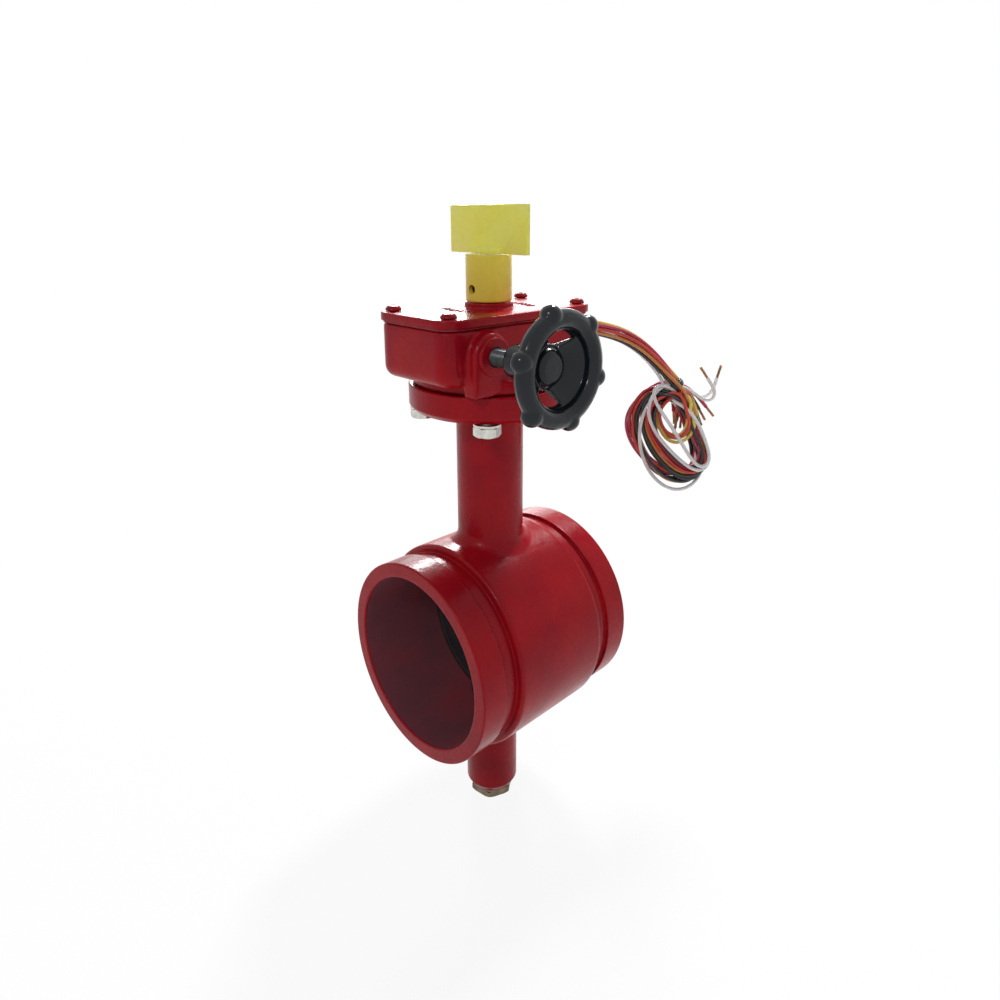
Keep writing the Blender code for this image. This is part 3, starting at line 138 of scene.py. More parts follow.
REAR_HOLE_R = 0.0098
SCREW_POST_R = 0.0056
SCREW_HOLE_R = 0.0028
COLLAR_R = 0.0132
TICK_CIRCLE_R = 0.0235
TICK_HALF_WIDTH = 0.00045
GAP = 0.0003
TO_FRONT = Matrix.Rotation(pi / 2, 4, "X")
TO_X = Matrix.Rotation(pi / 2, 4, "Y")


# Camera, floor and light

def new_object(name, data):
    """An object in the scene's own collection."""
    item = bpy.data.objects.new(name, data)
    bpy.context.scene.collection.objects.link(item)
    return item


def pointing(spot, ahead):
    """A place with its own Z axis turned the given way."""
    return Matrix.Translation(spot) @ ahead.to_track_quat("Z", "Y").to_matrix().to_4x4()


def make_camera():
    """The photograph's viewpoint, from its camera fit."""
    lens = bpy.data.cameras.new("photo_camera")
    lens.lens = 26.1157
    lens.sensor_width = 36.0
    lens.shift_x = -0.01275
    lens.shift_y = -0.09407
    lens.clip_start = 0.01
    camera = new_object("photo_camera", lens)
    right = Vector((0.70916, -0.70505, 0.00178))
    up = Vector((0.17668, 0.18015, 0.96764))
    back = Vector((-0.68255, -0.68590, 0.25232))
    place = Matrix.Translation((-0.26926, -0.28902, 0.23992))
    camera.matrix_world = place @ Matrix((right, up, back)).transposed().to_4x4()
    bpy.context.scene.camera = camera


def feed(tree, item, inputs):
    """Each input of a node given a value or linked to a socket."""
    for key, value in inputs.items():
        if isinstance(value, bpy.types.NodeSocket):
            tree.links.new(value, item.inputs[key])
        else:
            item.inputs[key].default_value = value


def node(tree, kind, inputs=None, **settings):
    """A shader node with its settings and inputs."""
    item = tree.nodes.new(kind)
    for key, value in settings.items():
        setattr(item, key, value)
    feed(tree, item, inputs or {})
    return item


def seen_directly(tree):
    """1 for rays from the camera, or by way of a mirror-like surface or glass."""
    path = node(tree, "ShaderNodeLightPath")
    seen = path.outputs["Is Camera Ray"]
    for kind in ("Is Glossy Ray", "Is Transmission Ray"):
        pair = {0: seen, 1: path.outputs[kind]}
        seen = node(tree, "ShaderNodeMath", pair, operation="MAXIMUM").outputs[0]
    return seen


def mixed(tree, share, first, second):
    """Two shaders mixed by a share."""
    inputs = {0: share, 1: first.outputs[0], 2: second.outputs[0]}
    return node(tree, "ShaderNodeMixShader", inputs).outputs[0]


# Name, place, height of the spot it is turned to, size and watts
LAMPS = (
    ("top_lamp", (0.72, 0.26, 1.14), 0.08, 0.26, 16.0),
    ("back_lamp", (1.05, 1.12, 0.36), 0.16, 0.90, 6.0),
    ("window_lamp", (0.85, 1.15, 0.78), 0.06, 0.30, 9.0),
    ("key_lamp", (-0.95, -0.35, 0.85), 0.08, 0.24, 3.2),
    ("side_lamp", (0.90, -0.90, 0.50), 0.05, 0.60, 1.8),
)


def make_studio():
    """A white room with a floor that takes the valve's shadow, and five round lamps."""
    world = bpy.data.worlds.new("studio")
    bpy.context.scene.world = world
    world.use_nodes = True
    tree = world.node_tree
    tree.nodes.clear()
    soft = node(tree, "ShaderNodeBackground", {"Color": (0.94, 0.96, 1.0, 1.0), "Strength": 0.24})
    pale = node(tree, "ShaderNodeBackground", {"Color": (1.0, 1.0, 1.0, 1.0), "Strength": 1.0})
    node(tree, "ShaderNodeOutputWorld", {"Surface": mixed(tree, seen_directly(tree), soft, pale)})

    bpy.ops.object.select_all(action="DESELECT")
    under = (0, 0, CAD_BOX[0][2] - GAP)
    bpy.ops.mesh.primitive_circle_add(vertices=96, radius=4.0, location=under, fill_type="NGON")
    floor = bpy.context.object
    floor.name = "studio_floor"
    material = bpy.data.materials.new("studio_floor")
    material.use_nodes = True
    tree = material.node_tree
    tree.nodes.clear()
    place = node(tree, "ShaderNodeTexCoord").outputs["Object"]
    far = node(tree, "ShaderNodeVectorMath", {0: place}, operation="LENGTH").outputs["Value"]
    reach = {"Value": far, "From Min": 0.15, "From Max": 0.6, "To Min": 0.90, "To Max": 1.0}
    share = node(tree, "ShaderNodeMapRange", reach, interpolation_type="SMOOTHSTEP")
    matt = node(tree, "ShaderNodeBsdfDiffuse", {"Color": (0.85, 0.85, 0.85, 1.0)})
    glow = node(tree, "ShaderNodeEmission", {"Color": (1.0, 1.0, 1.0, 1.0), "Strength": 1.0})
    pair = {0: seen_directly(tree), 1: share.outputs[0]}
    share = node(tree, "ShaderNodeMath", pair, operation="MULTIPLY").outputs[0]
    node(tree, "ShaderNodeOutputMaterial", {"Surface": mixed(tree, share, matt, glow)})
    floor.data.materials.append(material)

    for name, spot, aim_z, size, power in LAMPS:
        lamp = bpy.data.lights.new(name, "AREA")
        lamp.shape = "DISK"
        lamp.size = size
        lamp.energy = power
        item = new_object(name, lamp)
        item.visible_camera = False
        item.visible_glossy = name != "side_lamp"
        item.matrix_world = pointing(spot, Vector(spot) - Vector((0, 0, aim_z)))


# Finishes

def new_finish(name):
    material = bpy.data.materials.new(name)
    material.use_nodes = True
    tree = material.node_tree
    place = node(tree, "ShaderNodeTexCoord").outputs["Object"]
    return material, tree, tree.nodes["Principled BSDF"], place


def noise(tree, place, scale, detail=3.0, roughness=0.5):
    inputs = {"Vector": place, "Scale": scale, "Detail": detail, "Roughness": roughness}
    return node(tree, "ShaderNodeTexNoise", inputs).outputs["Fac"]


def stretched(tree, place, scale):
    """The same place, scaled by a different amount along each axis."""
    return node(tree, "ShaderNodeMapping", {"Vector": place, "Scale": scale}).outputs[0]


def blend(tree, share, first, second):
    """One colour shading into another."""
    return node(tree, "ShaderNodeMix", {0: share, 6: first, 7: second}, data_type="RGBA").outputs[2]


def ramp(tree, fac, stops):
    """A colour ramp from (place, colour) stops."""
    item = node(tree, "ShaderNodeValToRGB", {"Fac": fac})
    marks = item.color_ramp.elements
    while len(marks) < len(stops):
        marks.new(0.5)
    for mark, (spot, colour) in zip(marks, stops):
        mark.position = spot
        mark.color = colour if len(colour) == 4 else (*colour, 1.0)
    return item.outputs["Color"]


def grey(value):
    return (value, value, value, 1.0)


def bumps(tree, layers):
    """Bump nodes in a row, from (height, strength, distance) layers."""
    normal = None
    for height, strength, distance in layers:
        inputs = {"Height": height, "Strength": strength, "Distance": distance}
        if normal is not None:
            inputs["Normal"] = normal
        normal = node(tree, "ShaderNodeBump", inputs).outputs["Normal"]
    return normal


def enamel(name, colour, deep, warm, wave=0.2, shine=0.1, coat=0.05, gloss=0.2):
    """Thick glossy paint brushed over a sand casting: soft waves, fine grain, pits and uneven colour."""
    material, tree, shader, place = new_finish(name)
    patch = noise(tree, place, 26.0, 4.0, 0.6)
    streak = noise(tree, stretched(tree, place, (1.0, 1.0, 0.25)), 110.0, 3.0, 0.55)
    base = ramp(tree, patch, ((0.28, deep), (0.5, colour), (0.74, warm)))
    tint = blend(tree, ramp(tree, streak, ((0.35, grey(0.0)), (0.75, grey(0.22)))), base, (*deep, 1.0))
    pits = noise(tree, place, 620.0, 2.0, 0.6)
    dark = (*[part * 0.4 for part in deep], 1.0)
    speck = blend(tree, ramp(tree, pits, ((0.70, grey(0.0)), (0.78, grey(0.45)))), tint, dark)
    rough = ramp(tree, noise(tree, place, 90.0, 4.0, 0.6), ((0.3, grey(gloss)), (0.75, grey(gloss + 0.14))))
    normal = bumps(tree, ((noise(tree, place, 80.0, 2.0, 0.5), wave, 0.0010),
                          (noise(tree, place, 330.0, 3.0, 0.55), 0.22, 0.0004),
                          (pits, 0.16, 0.0003)))
    feed(tree, shader, {"Base Color": speck, "Roughness": rough, "Specular IOR Level": shine,
                        "Coat Weight": coat, "Coat Roughness": 0.07, "Normal": normal,
                        "Coat Normal": normal})
    return material


def bare_metal(name, colour, dull, gloss=0.3, grain=(40.0, 40.0, 600.0), wear=0.12, metallic=1.0):
    """Plated or machined metal with turning marks, stains and dull patches."""
    material, tree, shader, place = new_finish(name)
    lines = noise(tree, stretched(tree, place, grain), 4.0, 3.0)
    patch = noise(tree, place, 150.0, 4.0, 0.62)
    base = ramp(tree, patch, ((0.36, dull), (0.62, colour)))
    rough = ramp(tree, patch, ((0.3, grey(gloss + wear)), (0.7, grey(gloss))))
    normal = bumps(tree, ((lines, 0.18, 0.00025), (noise(tree, place, 900.0, 2.0), 0.12, 0.0002)))
    feed(tree, shader, {"Base Color": base, "Metallic": metallic, "Roughness": rough, "Normal": normal})
    return material


def moulded(name, colour, pale, gloss=0.45, grain=1400.0, coat=0.0):
    """Rubber or moulded plastic: fine grain, dust and a little unevenness."""
    material, tree, shader, place = new_finish(name)
    patch = noise(tree, place, 70.0, 5.0, 0.65)
    base = ramp(tree, patch, ((0.42, colour), (0.8, pale)))
    rough = ramp(tree, noise(tree, place, 240.0), ((0.3, grey(gloss)), (0.75, grey(gloss + 0.15))))
    normal = bumps(tree, ((noise(tree, place, grain, 2.0), 0.22, 0.0002), (patch, 0.1, 0.0006)))
    feed(tree, shader, {"Base Color": base, "Roughness": rough, "Coat Weight": coat, "Normal": normal})
    return material


RED_ENAMEL = enamel("red_enamel", (0.35, 0.0045, 0.0120), (0.27, 0.0036, 0.0120), (0.42, 0.007, 0.010))
# A darker, duller red for the bore wall: painted shade inside the bore, where little light reaches
BORE_PAINTED_SHADE = enamel("bore_painted_shade", (0.24, 0.065, 0.080), (0.17, 0.065, 0.080), (0.34, 0.050, 0.065),
                     wave=0.15, shine=0.12, coat=0.0, gloss=0.45)
SCREW_ENAMEL = enamel("screw_enamel", (0.33, 0.006, 0.012), (0.22, 0.005, 0.010), (0.38, 0.008, 0.012))
SLEEVE_ENAMEL = enamel("sleeve_enamel", (0.93, 0.76, 0.085), (0.82, 0.64, 0.05), (0.96, 0.82, 0.13),
                       wave=0.15, shine=0.25)
FLAG_ENAMEL = enamel("flag_enamel", (1.0, 0.95, 0.15), (0.95, 0.87, 0.09), (1.0, 0.98, 0.24),
                     wave=0.15, shine=0.25)
BLACK_ENAMEL = enamel("black_enamel", (0.008, 0.011, 0.016), (0.004, 0.006, 0.009), (0.012, 0.017, 0.022),
                      wave=0.45, shine=0.18, coat=0.20, gloss=0.12)
ZINC = bare_metal("zinc_plate", (0.66, 0.65, 0.61), (0.42, 0.41, 0.36), 0.28)
BLACK_STEEL = bare_metal("oiled_black_steel", (0.055, 0.060, 0.061), (0.030, 0.032, 0.032), 0.26,
                         (60.0, 900.0, 60.0))
GEAR_STEEL = bare_metal("machined_steel", (0.30, 0.30, 0.29), (0.18, 0.18, 0.17), 0.33)
BRASS = bare_metal("dull_brass", (0.22, 0.165, 0.115), (0.13, 0.10, 0.075), 0.40)
BRONZE = bare_metal("bush_bronze", (0.48, 0.31, 0.15), (0.32, 0.20, 0.10), 0.32)
COPPER = bare_metal("stripped_copper", (0.42, 0.20, 0.11), (0.20, 0.11, 0.07), 0.38, (900.0, 60.0, 60.0))
DISC_RUBBER = moulded("disc_rubber", (0.014, 0.014, 0.015), (0.030, 0.029, 0.028), 0.42, 900.0)
SEAL_RUBBER = moulded("seal_rubber", (0.012, 0.012, 0.012), (0.024, 0.023, 0.022), 0.5)
PAINTED_GASKET = moulded("painted_gasket", (0.26, 0.005, 0.012), (0.32, 0.007, 0.014), 0.5)
TIE_TAPE = moulded("tie_tape", (0.014, 0.015, 0.017), (0.028, 0.029, 0.031), 0.32, 500.0)
BLACK_PLASTIC = moulded("black_plastic", (0.018, 0.018, 0.020), (0.035, 0.035, 0.037), 0.4)


def insulation(name, colour):
    """Glossy thin-wall wire insulation."""
    pale = [min(0.9, part * 1.2 + 0.008) for part in colour]
    return moulded(name, [part * 0.9 for part in colour], pale, 0.30, 700.0, 0.12)


# Modelling tools

def mode(name):
    bpy.ops.object.mode_set(mode=name)


def rest():
    """Object mode, with nothing selected."""
    if bpy.context.mode != "OBJECT":
        mode("OBJECT")
    bpy.ops.object.select_all(action="DESELECT")


def pick(*items):
    """Only these objects are selected, and the last one is active."""
    rest()
    for item in items:
        item.select_set(True)
    bpy.context.view_layer.objects.active = items[-1]


def edit_all(item):
    """Edit mode on one piece, with all of it selected."""
    pick(item)
    mode("EDIT")
    bpy.ops.mesh.select_all(action="SELECT")


def apply_place():
    """The place, turn and size of the active piece go into its mesh."""
    bpy.ops.object.transform_apply(location=True, rotation=True, scale=True)


def lay(item, place):
    """Puts a piece in its place, with the place in its mesh."""
    pick(item)
    item.matrix_world = place @ item.matrix_world
    apply_place()
    return item


def softened(points, steps=4, closed=False):
    """A profile of (radius, height) points, with a corner rounded where its point has a third number."""
    result = []
    for index, point in enumerate(points):
        here = Vector(point[:2])
        if len(point) < 3 or not closed and index in (0, len(points) - 1):
            result.append(here)
            continue
        before = Vector(points[index - 1][:2]) - here
        after = Vector(points[(index + 1) % len(points)][:2]) - here
        reach = point[2] / tan(before.angle(after) / 2)
        reach = min(reach, before.length * 0.48, after.length * 0.48)
        start = here + before.normalized() * reach
        end = here + after.normalized() * reach
        result.append(here + before.normalized() * min(reach * 1.6, before.length * 0.49))
        for step in range(steps + 1):
            t = step / steps
            result.append(start * (1 - t) ** 2 + here * 2 * t * (1 - t) + end * t * t)
        result.append(here + after.normalized() * min(reach * 1.6, after.length * 0.49))
    if closed:
        result.append(result[0])
    return result


def drawn_out(name, rings, steps=64, place=None, joined=False):
    """A circle drawn out ring by ring along Z and scaled at each, with flat ends or joined end to start."""
    rest()
    radius, height = rings[0]
    bpy.ops.mesh.primitive_circle_add(vertices=steps, radius=radius, location=(0, 0, height),
                                      fill_type="NOTHING" if joined else "NGON")
    item = bpy.context.object
    item.name = name
    apply_place()
    mode("EDIT")
    bpy.ops.mesh.select_mode(type="EDGE" if joined else "FACE")
    bpy.ops.mesh.select_all(action="SELECT")
    for next_radius, next_height in rings[1:]:
        bpy.ops.mesh.extrude_region_move(TRANSFORM_OT_translate={"value": (0, 0, next_height - height)})
        ratio = next_radius / radius
        bpy.ops.transform.resize(value=(ratio, ratio, 1), center_override=(0, 0, next_height))
        radius, height = next_radius, next_height
    bpy.ops.mesh.select_all(action="SELECT")
    bpy.ops.mesh.remove_doubles(threshold=0.0000005)
    bpy.ops.mesh.normals_make_consistent(inside=False)
    mode("OBJECT")
    if place is not None:
        lay(item, place)
    return item


def prism(name, sides, radius, low, high, turn=0.0, place=None):
    """A many-sided bar along Z."""
    return drawn_out(name, [(radius, low), (radius, high)], sides,
                     (place or Matrix()) @ Matrix.Rotation(turn, 4, "Z"))


def brick(name, low, high):
    """A box between two corners."""
    rest()
    low, high = Vector(low), Vector(high)
    bpy.ops.mesh.primitive_cube_add(size=1.0, location=(low + high) / 2)
    item = bpy.context.object
    item.name = name
    item.scale = high - low
    apply_place()
    return item


def bevel_edges(item, chosen, width, segments=4):
    """Bevels the edges that a test of their two ends picks out."""
    pick(item)
    mode("EDIT")
    bpy.ops.mesh.select_mode(type="EDGE")
    bpy.ops.mesh.select_all(action="DESELECT")
    mode("OBJECT")
    verts = item.data.vertices
    for edge in item.data.edges:
        edge.select = bool(chosen(verts[edge.vertices[0]].co, verts[edge.vertices[1]].co))
    mode("EDIT")
    bpy.ops.mesh.bevel(offset=width, segments=segments, affect="EDGES", clamp_overlap=True)
    mode("OBJECT")


def upright(a, b):
    return abs(a.z - b.z) > 0.001 and (a - b).xy.length < 0.0001


def on_level(height):
    """A test for edges that lie at one height."""
    return lambda a, b: abs(a.z - height) < 0.00001 and abs(b.z - height) < 0.00001


def apply_modifier(item, kind, **settings):
    pick(item)
    bpy.ops.object.modifier_add(type=kind)
    step = item.modifiers[-1]
    for key, value in settings.items():
        setattr(step, key, value)
    bpy.ops.object.modifier_apply(modifier=step.name)


def carve(item, tools, operation="DIFFERENCE"):
    """One exact Boolean with all its tools, which are then removed."""
    group = bpy.data.collections.new("carving_tools")
    bpy.context.scene.collection.children.link(group)
    for tool in tools:
        for owner in list(tool.users_collection):
            owner.objects.unlink(tool)
        group.objects.link(tool)
    apply_modifier(item, "BOOLEAN", operation=operation, solver="EXACT", operand_type="COLLECTION",
                   collection=group)
    for tool in tools:
        bpy.data.objects.remove(tool, do_unlink=True)
    bpy.data.collections.remove(group)


def cast(item, voxel, rounds=6, factor=0.5):
    """Melts a built-up shape into one skin with soft edges, as a sand casting has."""
    apply_modifier(item, "REMESH", mode="VOXEL", voxel_size=voxel)
    apply_modifier(item, "SMOOTH", factor=factor, iterations=rounds)


def dress(item, body, slot, material, *replaced, angle=35):
    """Gives a finished piece its finish, shading and body, and hides the CAD nodes that it stands for. Its
    slot is not used.
    """
    item.data.materials.clear()
    item.data.materials.append(material)
    pick(item)
    bpy.ops.object.shade_smooth_by_angle(angle=radians(angle))
    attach(item, body)
    if replaced:
        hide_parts(*replaced)
    return item


def at(x, y, z, turn=None):
    spot = Matrix.Translation((x, y, z))
    return spot if turn is None else spot @ turn


# Leads

LEAD_R = 0.00115
LEAD_STEP = 0.0022
LEAD_FINE_STEP = 0.0013
BUNDLE_SPREAD = 0.0035
BUNDLE_SWELL = 0.08
BUNDLE_TWIST = 65
TIGHTEST_BEND = 0.0064
LEAST_BEND = 0.0060
STRIP_LENGTH = 0.0095
STRANDS = 5
STRAND_R = 0.00036
STRAND_TIP_R = 0.0002
STRAND_OUT = 0.00052
STRAND_TURN = 2.6
BUNDLE_ROUTE = (
    (0.044, 0, 0.178), (0.054, 0, 0.178), (0.0645, -0.0008, 0.1774), (0.0751, -0.0025, 0.1755),
    (0.0849, -0.0048, 0.1733), (0.0942, -0.0078, 0.1713), (0.1028, -0.0111, 0.1688),
    (0.1109, -0.0151, 0.1648), (0.1184, -0.0196, 0.1586), (0.1254, -0.0246, 0.1495),
    (0.1317, -0.0303, 0.139), (0.136, -0.035, 0.131),
)
HANK_CENTRE = np.array((0.1320, -0.0310, 0.0950))
HANK_RIGHT = np.array((sqrt(0.5), -sqrt(0.5), 0))
HANK_NEAR = np.array((-sqrt(0.5), -sqrt(0.5), 0))
# Each loop's places in the hank: millimetres right and up from its middle, and towards the viewer
LOOPS = {
    "lobe_1": ((12, 30, -3), (17, 19, -4), (22, 6, -5), (27, -6, -4), (28, -16, -2), (24, -23, 0),
     (15, -27, 1), (5, -27, 0), (-7, -20, -1), (-18, -9, -2), (-26, 2, -4), (-28, 13, -5), (-25, 24, -5),
     (-17, 32, -4), (-6, 37, -3)),
    "lobe_2": ((11, 29, -1), (14, 18, -2), (18, 7, -2), (24, -6, -2), (28, -17, 0), (25, -27, 2),
     (15, -32, 2), (4, -31, 1), (-6, -23, 0), (-14, -11, -1), (-20, 1, -2), (-23, 13, -3), (-20, 24, -3),
     (-12, 33, -2), (-2, 38, -1)),
    "front_1": ((11, 28, 1), (13, 17, 1), (19, 6, 1), (26, -5, 2), (29, -14, 3), (26, -22, 5),
     (19, -25, 6), (11, -21, 6), (2, -11, 6), (-7, -1, 6), (-14, 10, 5), (-16, 20, 4), (-12, 29, 3),
     (-3, 36, 1)),
    "front_2": ((10, 29, 3), (14, 18, 3), (20, 6, 3), (25, -4, 4), (27, -12, 5), (23, -20, 7),
     (15, -19, 8), (7, -11, 8), (-2, -3, 8), (-10, 6, 7), (-14, 15, 6), (-14, 24, 4), (-8, 33, 3),
     (0, 37, 1)),
    "front_3": ((12, 29, -1), (17, 17, -1), (23, 4, -1), (28, -8, 1), (29, -18, 3), (24, -27, 4),
     (14, -28, 4), (3, -21, 4), (-7, -10, 3), (-14, 1, 3), (-18, 12, 2), (-17, 23, 1), (-10, 32, 0),
     (-1, 37, 0)),
    "small_1": ((11, 29, 4), (16, 22, 5), (19, 13, 5), (18, 4, 5), (12, -3, 4), (4, -4, 3), (-3, 3, 2),
     (-8, 13, 1), (-11, 23, 0), (-8, 33, 0), (0, 38, 0)),
    "small_2": ((11, 28, 6), (15, 20, 7), (17, 11, 7), (14, 3, 6), (7, -1, 5), (0, 3, 4), (-5, 11, 3),
     (-8, 21, 2), (-6, 31, 1), (1, 37, 1)),
    "white_a": ((14, 25, 7), (19, 12, 7), (25, 0, 7), (30, -10, 8), (29, -19, 10), (22, -21, 12),
     (15, -12, 12), (9, -1, 12), (2, 10, 12), (-5, 20, 11), (-12, 28, 10), (-16, 34, 8), (-12, 40, 5),
     (-3, 41, 2)),
    "white_b": ((17, 22, 2), (24, 8, 2), (30, -6, 3), (31, -16, 6), (26, -23, 9), (16, -17, 11),
     (6, -8, 12), (-4, 2, 12), (-12, 12, 11), (-17, 22, 9), (-15, 31, 7), (-7, 38, 3)),
    "white_c": ((17, 22, -5), (25, 5, -6), (31, -12, -4), (28, -26, 1), (18, -35, 6), (7, -36, 8),
     (-4, -29, 9), (-13, -17, 9), (-18, -4, 9), (-19, 9, 8), (-16, 22, 6), (-8, 33, 2), (0, 38, 0)),
}
# Name, colour, place round the bundle in degrees (None: its middle), loops, and the tail's places
LEADS = (
    ("black_1", (0.012, 0.013, 0.015), 85, ("lobe_2", "front_3", "lobe_2"),
     ((7, 38, -5), (15, 35, -6), (20.5, 29, -7), (22.5, 21, -7))),
    ("yellow", (0.85, 0.66, 0.12), 45, ("small_1", "front_3", "small_2"),
     ((7, 37, -2), (14, 32, -3), (18.5, 24, -4), (19, 16, -4))),
    ("crimson", (0.46, 0.014, 0.075), 5, ("lobe_1", "front_1", "lobe_1"),
     ((7, 38, -3), (16, 36, -3), (23.5, 31, -4), (27, 22, -4))),
    ("red", (0.58, 0.045, 0.022), -35, ("front_1", "small_2", "lobe_1"),
     ((4, 38, -5), (11, 33, -6), (12, 25, -6), (8, 17, -6))),
    ("orange", (0.60, 0.22, 0.050), -75, ("small_1", "lobe_2", "front_3"),
     ((5, 37, -8), (12, 31, -9), (13, 22, -8), (9, 14, -7))),
    ("black_2", (0.014, 0.015, 0.018), -115, ("front_3", "lobe_2", "front_2"),
     ((5, 38, -10), (13, 34, -10), (15, 25, -9), (12, 16, -8))),
    ("white_1", (0.88, 0.87, 0.86), -155, ("white_a", "white_b"),
     ((3, 40, 2), (12, 37, 1), (19, 31.5, 1), (25.5, 25, 1), (32, 22.5, 2), (35.5, 28, 2), (33.5, 35, 2),
     (27, 40.5, 2))),
    ("white_2", (0.86, 0.85, 0.85), 130, ("white_c", "front_3"),
     ((7, 38, -4), (14, 34, -5), (20.5, 27.5, -5), (26.5, 22, -4), (31, 25, -3), (31.5, 32, -3),
     (32, 39, -3))),
    ("dark_red", (0.36, 0.012, 0.028), None, ("front_1", "lobe_1", "front_2"),
     ((3, 38, -8), (10, 34, -9), (12, 26, -9), (7, 19, -8))),
)


def through(points, parts):
    """Points on a smooth curve through the given ones."""
    points = np.asarray(points, float)
    ends = np.vstack((points[0] * 2 - points[1], points, points[-1] * 2 - points[-2]))
    path = []
    for before, start, end, after in zip(ends, ends[1:], ends[2:], ends[3:]):
        for part in range(parts):
            t = part / parts
            path.append(0.5 * (2 * start + (end - before) * t
                               + (2 * before - 5 * start + 4 * end - after) * t ** 2
                               + (3 * start - before - 3 * end + after) * t ** 3))
    path.append(ends[-2])
    return np.array(path)


def even(points, step):
    """The same path with its points a step apart."""
    run = np.concatenate(([0.0], np.cumsum(np.linalg.norm(np.diff(points, axis=0), axis=1))))
    marks = np.linspace(0.0, run[-1], max(4, int(round(run[-1] / step)) + 1))
    return np.stack([np.interp(marks, run, points[:, axis]) for axis in range(3)], axis=1)


def eased(points, held, rounds, step):
    """The same path with its corners rounded, past a held start."""
    points = points.copy()
    for _ in range(rounds):
        middle = (points[:-2] + points[2:]) / 2
        points[held:-1] += (middle[held - 1:] - points[held:-1]) * 0.5
    return even(points, step)


def unit(vector):
    return vector / np.linalg.norm(vector)


def bundle_frames():
    """The bundle's middle line with an upward and a sideways direction carried along it."""
    line = through(BUNDLE_ROUTE, 2)
    frames = []
    up = np.array((0.0, 0.0, 1.0))
    for index, spot in enumerate(line):
        ahead = unit(line[min(index + 1, len(line) - 1)] - line[max(index - 1, 0)])
        up = unit(up - ahead * up.dot(ahead))
        frames.append((spot, up, np.cross(ahead, up)))
    return frames


def hank_place(right, up, near):
    """A place in the hank, from millimetres to metres."""
    place = HANK_CENTRE + HANK_RIGHT * (right / 1000) + np.array((0, 0, up / 1000))
    return place + HANK_NEAR * (near / 1000)


def lead_paths():
    """Each lead's planned path: along the bundle in its own place, round its loops, out to its tail."""
    dice = random.Random(7)
    frames = bundle_frames()
    paths = []
    for _, _, angle, loops, tail in LEADS:
        points = []
        for index, (spot, up, side) in enumerate(frames):
            along = index / (len(frames) - 1)
            spread = BUNDLE_SPREAD * (1 + BUNDLE_SWELL * sin(pi * along))
            if angle is None:
                spread = 0.0
            turn = radians((angle or 0) + BUNDLE_TWIST * along)
            points.append(spot + up * (spread * sin(turn)) + side * (spread * cos(turn)))
        lane = points[-1] - frames[-1][0]
        for number, loop in enumerate(loops):
            grow = 1.0 if loop.startswith("white") else dice.uniform(0.93, 1.02)
            shift = np.array([dice.uniform(-1.2, 1.2), dice.uniform(-1.2, 1.2), dice.uniform(-2.0, 2.0)])
            if number:
                points.append(hank_place(7 + shift[0], 36 + shift[1], shift[2] * 1.5) + lane * 0.8)
            for right, up_mm, near in LOOPS[loop]:
                points.append(hank_place(right * grow + shift[0], up_mm * grow + shift[1], near + shift[2]))
        points += [hank_place(*spot) for spot in tail]
        paths.append(eased(even(through(points, 6), LEAD_STEP), 24, 14, LEAD_STEP))
    return paths


def near_pairs(spots, reach, owner, order):
    """Pairs of points on different stretches that lie within reach of each other."""
    middle = spots - spots.mean(axis=0)
    square = (middle ** 2).sum(axis=1)
    gap = square[:, None] + square[None, :] - 2 * middle @ middle.T
    first, second = np.nonzero(np.triu(gap < reach ** 2, 1))
    apart = (owner[first] != owner[second]) | (np.abs(order[first] - order[second]) > 4)
    return first[apart], second[apart]


def sag(spots, middle):
    """How far each middle point lies from halfway between its neighbours."""
    bend = np.zeros_like(spots)
    bend[middle] = (spots[middle - 1] + spots[middle + 1]) / 2 - spots[middle]
    return bend


def settle(paths, clear, held, rounds=440):
    """Eases crossing leads apart and opens tight bends, with starts held and lengths about the same.

    Where many cross, some are left pressed a little into one another.
    """
    plan = np.concatenate(paths)
    spots = plan.copy()
    owner = np.concatenate([np.full(len(path), index) for index, path in enumerate(paths)])
    order = np.concatenate([np.arange(len(path)) for path in paths])
    move = (order >= held)[:, None].astype(float)
    link = np.flatnonzero(owner[1:] == owner[:-1])
    middle = np.flatnonzero(owner[2:] == owner[:-2]) + 1
    for turn in range(rounds):
        if turn % 10 == 0:
            first, second = near_pairs(spots, clear * 2.2, owner, order)
        push = np.zeros_like(spots)
        count = np.ones(len(spots))
        away = spots[first] - spots[second]
        size = np.maximum(np.linalg.norm(away, axis=1), 0.00001)
        near = size < clear
        nudge = away[near] / size[near, None] * (clear - size[near, None]) * 0.5
        np.add.at(push, first[near], nudge)
        np.add.at(push, second[near], -nudge)
        np.add.at(count, first[near], 0.3)
        np.add.at(count, second[near], 0.3)
        spots += push / count[:, None] * move
        bend = sag(spots, middle)
        tight = LEAD_STEP ** 2 / (2 * TIGHTEST_BEND)
        much = np.linalg.norm(bend, axis=1)
        ease = bend * np.clip(1 - tight / np.maximum(much, 0.000001), 0, 1)[:, None]
        spots += (bend * 0.12 + ease * 0.6) * move
        spots[1:] -= ease[:-1] * 0.3 * move[1:]
        spots[:-1] -= ease[1:] * 0.3 * move[:-1]
        for _ in range(2):
            step = spots[link + 1] - spots[link]
            size = np.linalg.norm(step, axis=1)
            fix = step * ((size - LEAD_STEP) / np.maximum(size, 0.00001))[:, None] * 0.25
            pull = np.zeros_like(spots)
            np.add.at(pull, link, fix)
            np.add.at(pull, link + 1, -fix)
            spots += pull * move
        if turn < rounds * 0.5:
            spots += (plan - spots) * 0.03 * move
    for _ in range(90):
        bend = sag(spots, middle)
        tight = np.linalg.norm(bend, axis=1) > LEAD_STEP ** 2 / (2 * LEAST_BEND)
        near = np.convolve(tight, np.ones(9), "same") > 0.5
        spots[near] += bend[near] * 0.5 * move[near]
    return [spots[owner == index] for index in range(len(paths))]


